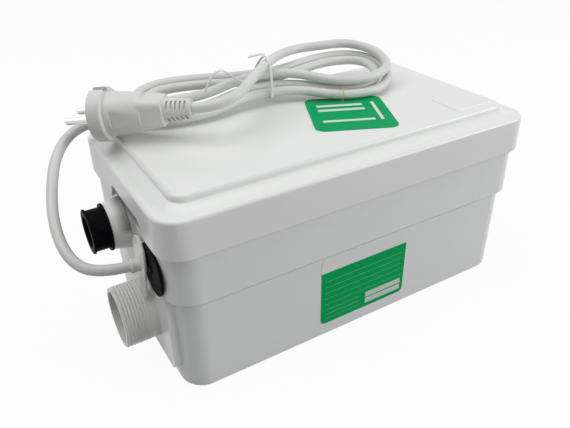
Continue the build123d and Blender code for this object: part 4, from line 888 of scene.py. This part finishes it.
def hank_stations():
    """Places and headings that the loops pass through."""
    stations = []
    _, along, across, _ = hank_axes()
    for index in range(INWARD_STATIONS + OUTWARD_STATIONS + 1):
        x, y, run_x, run_y = STATION_PLACES[index % len(STATION_PLACES)]
        x *= MM
        y *= MM
        inward = drawn_in(index)
        if run_y == 0:
            y -= math.copysign(inward, y)
        else:
            x -= math.copysign(inward, x)
        layer = min(1, max(0, (index - INWARD_STATIONS + 1) / CLIMB_STATIONS))
        stations.append((in_hank(x, y, layer * HANK_LAYER), along * run_x + across * run_y))
    return stations


def bend_points(start, heading, end, arrival):
    """The two corners of a smooth double bend between two headings."""
    span = end - start
    headings = heading + arrival
    bend = 2 * (1 - heading.dot(arrival))
    if bend < STRAIGHT:
        reach = span.dot(span) / (4 * span.dot(arrival))
    else:
        inside = span.dot(headings) ** 2 + bend * span.dot(span)
        reach = (math.sqrt(inside) - span.dot(headings)) / bend
    return [start + heading * reach, end - arrival * reach]


def plug_place(x, y, z):
    """A point given in the plug's own frame, Z from its face toward the cord."""
    across = PLUG_AXIS.cross(Vector((0, 0, 1))).normalized()
    return PLUG_FACE + across * x + PLUG_AXIS.cross(across) * y + PLUG_AXIS * z


def above_lid(point):
    """A route point in metres, its height given from the lid's top."""
    return Vector(point) * MM + Vector((0, 0, TOP))


def cord_route():
    """The whole free cord: out of the grommet, round the hank, and into the plug."""
    outward = Vector((-math.cos(EXIT_RISE), 0, math.sin(EXIT_RISE)))
    stations = hank_stations()
    first_place, first_heading = stations[0]
    last_place, last_heading = stations[-1]
    points = [CORD_EXIT, CORD_EXIT + outward * EXIT_RUN]
    points += [above_lid(point) for point in TAIL_ROUTE]
    points += [first_place - first_heading * TAIL_END_RUN]
    for (start, heading), (end, arrival) in zip(stations, stations[1:]):
        points += bend_points(start, heading, end, arrival)
    points += [last_place + last_heading * LEAD_START_RUN]
    points += [above_lid(point) for point in LEAD_ROUTE]
    points += [plug_place(0, 0, PLUG_LENGTH + PLUG_RUN), plug_place(0, 0, PLUG_LENGTH)]
    return points


def thread_tree(material):
    """Geometry nodes for a ridge wound round a pipe's end."""
    tree = bpy.data.node_groups.new("thread_ridge", "GeometryNodeTree")
    for name in ("Turns", "Length", "Radius", "Ridge"):
        tree.interface.new_socket(name, in_out="INPUT", socket_type="NodeSocketFloat")
    tree.interface.new_socket("Geometry", in_out="OUTPUT", socket_type="NodeSocketGeometry")
    given = tree.nodes.new("NodeGroupInput")
    spiral = tree.nodes.new("GeometryNodeCurveSpiral")
    spiral.inputs["Resolution"].default_value = THREAD_STEPS
    ring = tree.nodes.new("GeometryNodeCurvePrimitiveCircle")
    ring.inputs["Resolution"].default_value = RIDGE_CORNERS
    ridge = tree.nodes.new("GeometryNodeCurveToMesh")
    ridge.inputs["Fill Caps"].default_value = True
    turn = tree.nodes.new("GeometryNodeTransform")
    turn.inputs["Rotation"].default_value = (0, math.pi / 2, 0)
    start = Vector((INLET_END + THREAD_START, 0, 0))
    turn.inputs["Translation"].default_value = INLET_AXIS + start
    real = tree.nodes.new("GeometryNodeRealizeInstances")
    paint = tree.nodes.new("GeometryNodeSetMaterial")
    paint.inputs["Material"].default_value = material
    result = tree.nodes.new("NodeGroupOutput")
    link = tree.links.new
    link(given.outputs["Turns"], spiral.inputs["Rotations"])
    link(given.outputs["Length"], spiral.inputs["Height"])
    link(given.outputs["Radius"], spiral.inputs["Start Radius"])
    link(given.outputs["Radius"], spiral.inputs["End Radius"])
    link(given.outputs["Ridge"], ring.inputs["Radius"])
    link(spiral.outputs["Curve"], ridge.inputs["Curve"])
    link(ring.outputs["Curve"], ridge.inputs["Profile Curve"])
    link(ridge.outputs["Mesh"], turn.inputs["Geometry"])
    link(turn.outputs["Geometry"], real.inputs["Geometry"])
    link(real.outputs["Geometry"], paint.inputs["Geometry"])
    link(paint.outputs["Geometry"], result.inputs["Geometry"])
    return tree


def grown(tree, values):
    """The plain mesh that a node tree gives for these named inputs."""
    worker = bpy.data.objects.new("grown", bpy.data.meshes.new("grown"))
    bpy.context.scene.collection.objects.link(worker)
    modifier = worker.modifiers.new("grown", "NODES")
    modifier.node_group = tree
    for item in tree.interface.items_tree:
        if item.in_out == "INPUT" and item.name in values:
            modifier[item.identifier] = values[item.name]
    return plain_mesh(worker)


class MouldingSettings(bpy.types.PropertyGroup):
    """Sizes and colours of the moulded box."""

    edge: FloatProperty(
        name="Edge radius", description="Radius on the sharp edges of the box",
        default=0.00045, unit="LENGTH",
    )
    tank_colour: FloatVectorProperty(
        name="Tank colour", description="Colour of the tank's plastic",
        default=(0.770, 0.785, 0.780), subtype="COLOR",
    )
    lid_colour: FloatVectorProperty(
        name="Lid colour", description="Colour of the lid's plastic",
        default=(0.800, 0.812, 0.800), subtype="COLOR",
    )


class ThreadSettings(bpy.types.PropertyGroup):
    """Sizes of the inlet's thread."""

    turns: FloatProperty(name="Turns", description="Turns of the ridge", default=8.0)
    length: FloatProperty(
        name="Length", description="Length of the threaded end", default=0.0172, unit="LENGTH"
    )
    radius: FloatProperty(
        name="Radius", description="Radius at the ridge's root", default=0.0204, unit="LENGTH"
    )
    ridge: FloatProperty(
        name="Ridge", description="Half the ridge's width", default=0.0008, unit="LENGTH"
    )


class CordSettings(bpy.types.PropertyGroup):
    """Size and colour of the supply cord."""

    diameter: FloatProperty(
        name="Diameter", description="Outer diameter of the cord", default=0.0072, unit="LENGTH"
    )
    colour: FloatVectorProperty(
        name="Colour", description="Colour of the cord's sheath",
        default=(0.660, 0.670, 0.655), subtype="COLOR",
    )
    sides: IntProperty(name="Sides", description="Detail round the cord", default=6)


class StudioSettings(bpy.types.PropertyGroup):
    """Light levels of the studio."""

    sky: FloatProperty(name="Sky", description="Strength of the even light", default=0.34)
    top: FloatProperty(
        name="Top lamp", description="Power of the lamp overhead", default=10.5, unit="POWER"
    )
    front: FloatProperty(
        name="Front lamp", description="Power of the lamp in front", default=24.0, unit="POWER"
    )
    left: FloatProperty(
        name="Left lamp", description="Power of the lamp at the pipe end", default=1.4, unit="POWER"
    )


class BOXPUMP_OT_inside(bpy.types.Operator):
    """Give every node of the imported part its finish"""

    bl_idname = "boxpump.inside"
    bl_label = "Finish the packed nodes"

    def execute(self, context):
        for name, node in frame["nodes"].items():
            node.data.materials.clear()
            node.data.materials.append(finish_named(slot_of(name)))
        return {"FINISHED"}


class BOXPUMP_OT_box(bpy.types.Operator):
    """Round the edges of the tank and the lid"""

    bl_idname = "boxpump.box"
    bl_label = "Tank and lid"

    def execute(self, context):
        edge = context.scene.mouldings.edge
        soften_node("tank", "tank_moulding", edge)
        soften_node("lid", "lid_moulding", edge)
        return {"FINISHED"}


class BOXPUMP_OT_fittings(bpy.types.Operator):
    """Round the fittings on the pipe end, and make the gland plate and the blanking cap"""

    bl_idname = "boxpump.fittings"
    bl_label = "Fittings"

    def execute(self, context):
        soften_node("outlet_collar", "outlet_cone", COLLAR_EDGE)
        soften_node("outlet_sleeve", "rubber_sleeve", SLEEVE_EDGE)
        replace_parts(add_piece("gland_moulding", gland_mesh(), "fitting_plastic"), "gland_plate")
        soften_node("cable_grommet", "grommet_moulding", GROMMET_EDGE)
        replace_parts(add_piece("blanking_cap", cap_mesh(), "black_rubber"), "blanking_plug")
        soften_node("inlet_pipe", "inlet_spigot", INLET_EDGE)
        return {"FINISHED"}


class BOXPUMP_OT_thread(bpy.types.Operator):
    """Wind the ridge round the inlet's end"""

    bl_idname = "boxpump.thread"
    bl_label = "Inlet thread"

    def execute(self, context):
        sizes = context.scene.thread
        values = {
            "Turns": sizes.turns,
            "Length": sizes.length,
            "Radius": sizes.radius,
            "Ridge": sizes.ridge,
        }
        mesh = grown(thread_tree(finish_named("fitting_plastic")), values)
        mesh.shade_smooth()
        add_piece("inlet_thread", mesh, "fitting_plastic")
        return {"FINISHED"}


class BOXPUMP_OT_spring(bpy.types.Operator):
    """Round the level switch's spring and give it a mesh of its own"""

    bl_idname = "boxpump.spring"
    bl_label = "Switch spring"

    def execute(self, context):
        node = "switch_spring"
        joints = frame["record"]["behaviour"]["joints"]
        travel = next(row["range_m"][1] for row in joints if row["name"] == "plunger_slide")
        low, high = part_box(node)
        spring = soften_node(node, "coil_spring", SPRING_EDGE)
        shortened = 1 - travel / (high.z - low.z)
        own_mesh(spring)
        return {"FINISHED"}


class BOXPUMP_OT_plug(bpy.types.Operator):
    """Round the edges of the plug, its relief and its contacts"""

    bl_idname = "boxpump.plug"
    bl_label = "Mains plug"

    def execute(self, context):
        soften_node("plug_body", "plug_moulding", PLUG_EDGE)
        soften_node("plug_boot", "plug_relief", BOOT_EDGE)
        soften_node("plug_pins", "plug_contacts", PIN_EDGE)
        soften_node("plug_earth_clips", "plug_clips", CLIP_EDGE)
        return {"FINISHED"}


class BOXPUMP_OT_cord(bpy.types.Operator):
    """Lay the cord from the grommet round the hank to the plug"""

    bl_idname = "boxpump.cord"
    bl_label = "Supply cord"

    def execute(self, context):
        sizes = context.scene.cord
        cord = spline_object(cord_route(), resolution=CORD_STEPS)
        cord.name = "supply_cord"
        cord.data.bevel_depth = sizes.diameter / 2
        cord.data.bevel_resolution = sizes.sides
        cord.data.use_fill_caps = True
        cord.data.materials.append(finish_named("cord_sheath"))
        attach(cord, HOUSING)
        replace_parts(cord, "cord_tail", "cord_hank", "cord_lead")
        return {"FINISHED"}


class BOXPUMP_OT_tie(bpy.types.Operator):
    """Wrap the flat wire tie round the hank's waist"""

    bl_idname = "boxpump.tie"
    bl_label = "Wire tie"

    def execute(self, context):
        _, along, across, _ = hank_axes()
        strip = [(u * MM, v * MM) for u, v in HALF_STRIP]
        strip += [(-u, -v) for u, v in strip]
        loop = line_on([in_hank(0, y * MM, z * MM) for y, z in TIE_LOOP], cyclic=True)
        meshes = [swept(loop, strip, along, closed=True)]
        for tail in TIE_TAILS:
            line = line_on([in_hank(x * MM, y * MM, z * MM) for x, y, z in tail])
            meshes.append(swept(line, strip, across))
        tie = add_piece("wire_tie", joined("wire_tie", meshes), "tie")
        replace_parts(tie, "twist_tie")
        return {"FINISHED"}


class BOXPUMP_OT_yarn(bpy.types.Operator):
    """Twist the tag's string from two strands"""

    bl_idname = "boxpump.yarn"
    bl_label = "Tag string"

    def execute(self, context):
        low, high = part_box("tag_string")
        centre = (low + high) / 2
        radius = (high.z - low.z) / 2 - STRING_RADIUS
        across = Vector((high.x - low.x, high.y - low.y, 0)).normalized()
        upward = Vector((0, 0, 1))
        sideways = across.cross(upward)
        profile = round_profile(STRAND_RADIUS, STRAND_CORNERS)
        meshes = []
        for strand in range(STRAND_COUNT):
            line = []
            for index in range(STRING_STEPS):
                turn = 2 * math.pi * index / STRING_STEPS
                twist = STRING_TWISTS * turn + 2 * math.pi * strand / STRAND_COUNT
                reach = radius + STRAND_REACH * math.cos(twist)
                arm = across * math.cos(turn) + upward * math.sin(turn)
                line.append(centre + arm * reach + sideways * STRAND_REACH * math.sin(twist))
            meshes.append(swept(line, profile, sideways, closed=True))
        string = add_piece("tag_yarn", joined("tag_yarn", meshes), "string")
        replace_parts(string, "tag_string")
        return {"FINISHED"}


class BOXPUMP_OT_label(bpy.types.Operator):
    """Round the rating label's edges"""

    bl_idname = "boxpump.label"
    bl_label = "Label"

    def execute(self, context):
        soften_node("rating_label", "label_sheet", PAPER_EDGE)
        return {"FINISHED"}


class BOXPUMP_OT_tag(bpy.types.Operator):
    """Round the hang tag's edges"""

    bl_idname = "boxpump.tag"
    bl_label = "Hang tag"

    def execute(self, context):
        soften_node("hang_tag", "card_tag", PAPER_EDGE)
        return {"FINISHED"}


class BOXPUMP_OT_studio(bpy.types.Operator):
    """Set the floor, the lamps, the sky and the photograph's camera"""

    bl_idname = "boxpump.studio"
    bl_label = "Studio"

    def execute(self, context):
        make_floor()
        studio = context.scene.studio
        make_sky(studio.sky)
        for name, (place, size) in LAMPS.items():
            make_lamp(name + "_lamp", place, size, getattr(studio, name))
        make_camera(context.scene)
        return {"FINISHED"}


def make_floor():
    """Pale paper that shows the shadow and is nearly white to the camera."""
    mesh = bpy.data.meshes.new("floor")
    reach = FLOOR_REACH
    corners = [(-reach, -reach, 0), (reach, -reach, 0), (reach, reach, 0), (-reach, reach, 0)]
    mesh.from_pydata(corners, [], [(0, 1, 2, 3)])
    finish = Finish("floor_paper")
    cloud = finish.noise(3.0, 2.0)
    shade = finish.mix(cloud, PAPER_DARK, PAPER_LIGHT)
    paper = finish.node("ShaderNodeBsdfDiffuse", {}, {"Color": shade})
    white = finish.node("ShaderNodeEmission", {}, {"Color": (1, 1, 1, 1), "Strength": FLOOR_GLOW})
    path = finish.node("ShaderNodeLightPath", {}, {}, "Is Camera Ray")
    seen = path + path.other("Is Glossy Ray") + path.other("Is Transmission Ray")
    surface = finish.node("ShaderNodeMixShader", {}, {0: seen * FLOOR_SHOWN, 1: paper, 2: white})
    finish.node("ShaderNodeOutputMaterial", {}, {"Surface": surface})
    mesh.materials.append(finish.material)
    floor = bpy.data.objects.new("floor", mesh)
    bpy.context.scene.collection.objects.link(floor)


def make_sky(strength):
    """Even light on the box, and plain white where a camera, gloss or clear ray meets the sky."""
    world = bpy.data.worlds.new("sky")
    world.use_nodes = True
    tree = world.node_tree
    ground = tree.nodes["Background"]
    ground.inputs["Color"].default_value = (1, 1, 1, 1)
    ground.inputs["Strength"].default_value = strength
    bright = tree.nodes.new("ShaderNodeBackground")
    path = tree.nodes.new("ShaderNodeLightPath")
    shiny = tree.nodes.new("ShaderNodeMath")
    clear = tree.nodes.new("ShaderNodeMath")
    mixer = tree.nodes.new("ShaderNodeMixShader")
    bright.inputs["Color"].default_value = (1, 1, 1, 1)
    tree.links.new(path.outputs["Is Camera Ray"], shiny.inputs[0])
    tree.links.new(path.outputs["Is Glossy Ray"], shiny.inputs[1])
    tree.links.new(shiny.outputs[0], clear.inputs[0])
    tree.links.new(path.outputs["Is Transmission Ray"], clear.inputs[1])
    tree.links.new(clear.outputs[0], mixer.inputs[0])
    tree.links.new(ground.outputs[0], mixer.inputs[1])
    tree.links.new(bright.outputs[0], mixer.inputs[2])
    tree.links.new(mixer.outputs[0], tree.nodes["World Output"].inputs["Surface"])
    bpy.context.scene.world = world


def make_lamp(name, place, size, power):
    """A square soft lamp that looks at the box."""
    light = bpy.data.lights.new(name, "AREA")
    light.size = size
    light.energy = power
    lamp = bpy.data.objects.new(name, light)
    lamp.location = place
    aim = LAMP_AIM - Vector(place)
    lamp.rotation_mode = "QUATERNION"
    lamp.rotation_quaternion = aim.to_track_quat("-Z", "Y")
    bpy.context.scene.collection.objects.link(lamp)


def make_camera(scene):
    camera = bpy.data.cameras.new("photo_camera")
    camera.sensor_width = SENSOR
    camera.lens = FOCAL_PIXELS / IMAGE_SIZE[0] * SENSOR
    camera.shift_x = (IMAGE_SIZE[0] / 2 - IMAGE_CENTRE[0]) / IMAGE_SIZE[0]
    camera.shift_y = (IMAGE_CENTRE[1] - IMAGE_SIZE[1] / 2) / IMAGE_SIZE[0]
    forward = Vector((
        math.sin(CAMERA_AZIMUTH) * math.cos(CAMERA_DOWN),
        math.cos(CAMERA_AZIMUTH) * math.cos(CAMERA_DOWN),
        -math.sin(CAMERA_DOWN),
    ))
    level = Vector((math.cos(CAMERA_AZIMUTH), -math.sin(CAMERA_AZIMUTH), 0))
    upright = level.cross(forward)
    right = level * math.cos(CAMERA_ROLL) + upright * math.sin(CAMERA_ROLL)
    upward = upright * math.cos(CAMERA_ROLL) - level * math.sin(CAMERA_ROLL)
    viewer = bpy.data.objects.new("photo_camera", camera)
    viewer.matrix_world = Matrix.Translation(CAMERA_PLACE) @ Matrix(
        (right, upward, -forward)
    ).transposed().to_4x4()
    scene.collection.objects.link(viewer)
    scene.camera = viewer
    scene.view_settings.view_transform = "Standard"


OPERATORS = (
    BOXPUMP_OT_inside,
    BOXPUMP_OT_box,
    BOXPUMP_OT_fittings,
    BOXPUMP_OT_thread,
    BOXPUMP_OT_spring,
    BOXPUMP_OT_plug,
    BOXPUMP_OT_label,
    BOXPUMP_OT_tag,
    BOXPUMP_OT_tie,
    BOXPUMP_OT_yarn,
    BOXPUMP_OT_cord,
    BOXPUMP_OT_studio,
)

SETTINGS = {
    "mouldings": MouldingSettings,
    "thread": ThreadSettings,
    "cord": CordSettings,
    "studio": StudioSettings,
}


class BOXPUMP_PT_panel(bpy.types.Panel):
    """Lists the steps that dress the box"""

    bl_idname = "BOXPUMP_PT_panel"
    bl_label = "Lifting box"
    bl_space_type = "VIEW_3D"
    bl_region_type = "UI"
    bl_category = "Lifting box"

    def draw(self, context):
        for name, group in SETTINGS.items():
            settings = getattr(context.scene, name)
            for field in group.__annotations__:
                self.layout.prop(settings, field)
        for operator in OPERATORS:
            self.layout.operator(operator.bl_idname)


def register():
    for name, group in SETTINGS.items():
        bpy.utils.register_class(group)
        setattr(bpy.types.Scene, name, PointerProperty(type=group))
    for operator in OPERATORS:
        bpy.utils.register_class(operator)
    bpy.utils.register_class(BOXPUMP_PT_panel)


def unregister():
    bpy.utils.unregister_class(BOXPUMP_PT_panel)
    for operator in reversed(OPERATORS):
        bpy.utils.unregister_class(operator)
    for name, group in SETTINGS.items():
        delattr(bpy.types.Scene, name)
        bpy.utils.unregister_class(group)


def main():
    register()
    bpy.ops.boxpump.studio()
    bpy.ops.boxpump.inside()
    bpy.ops.boxpump.box()
    bpy.ops.boxpump.fittings()
    bpy.ops.boxpump.thread()
    bpy.ops.boxpump.spring()
    bpy.ops.boxpump.plug()
    bpy.ops.boxpump.label()
    bpy.ops.boxpump.tag()
    bpy.ops.boxpump.tie()
    bpy.ops.boxpump.yarn()
    bpy.ops.boxpump.cord()


if __name__ == "__main__":
    main()
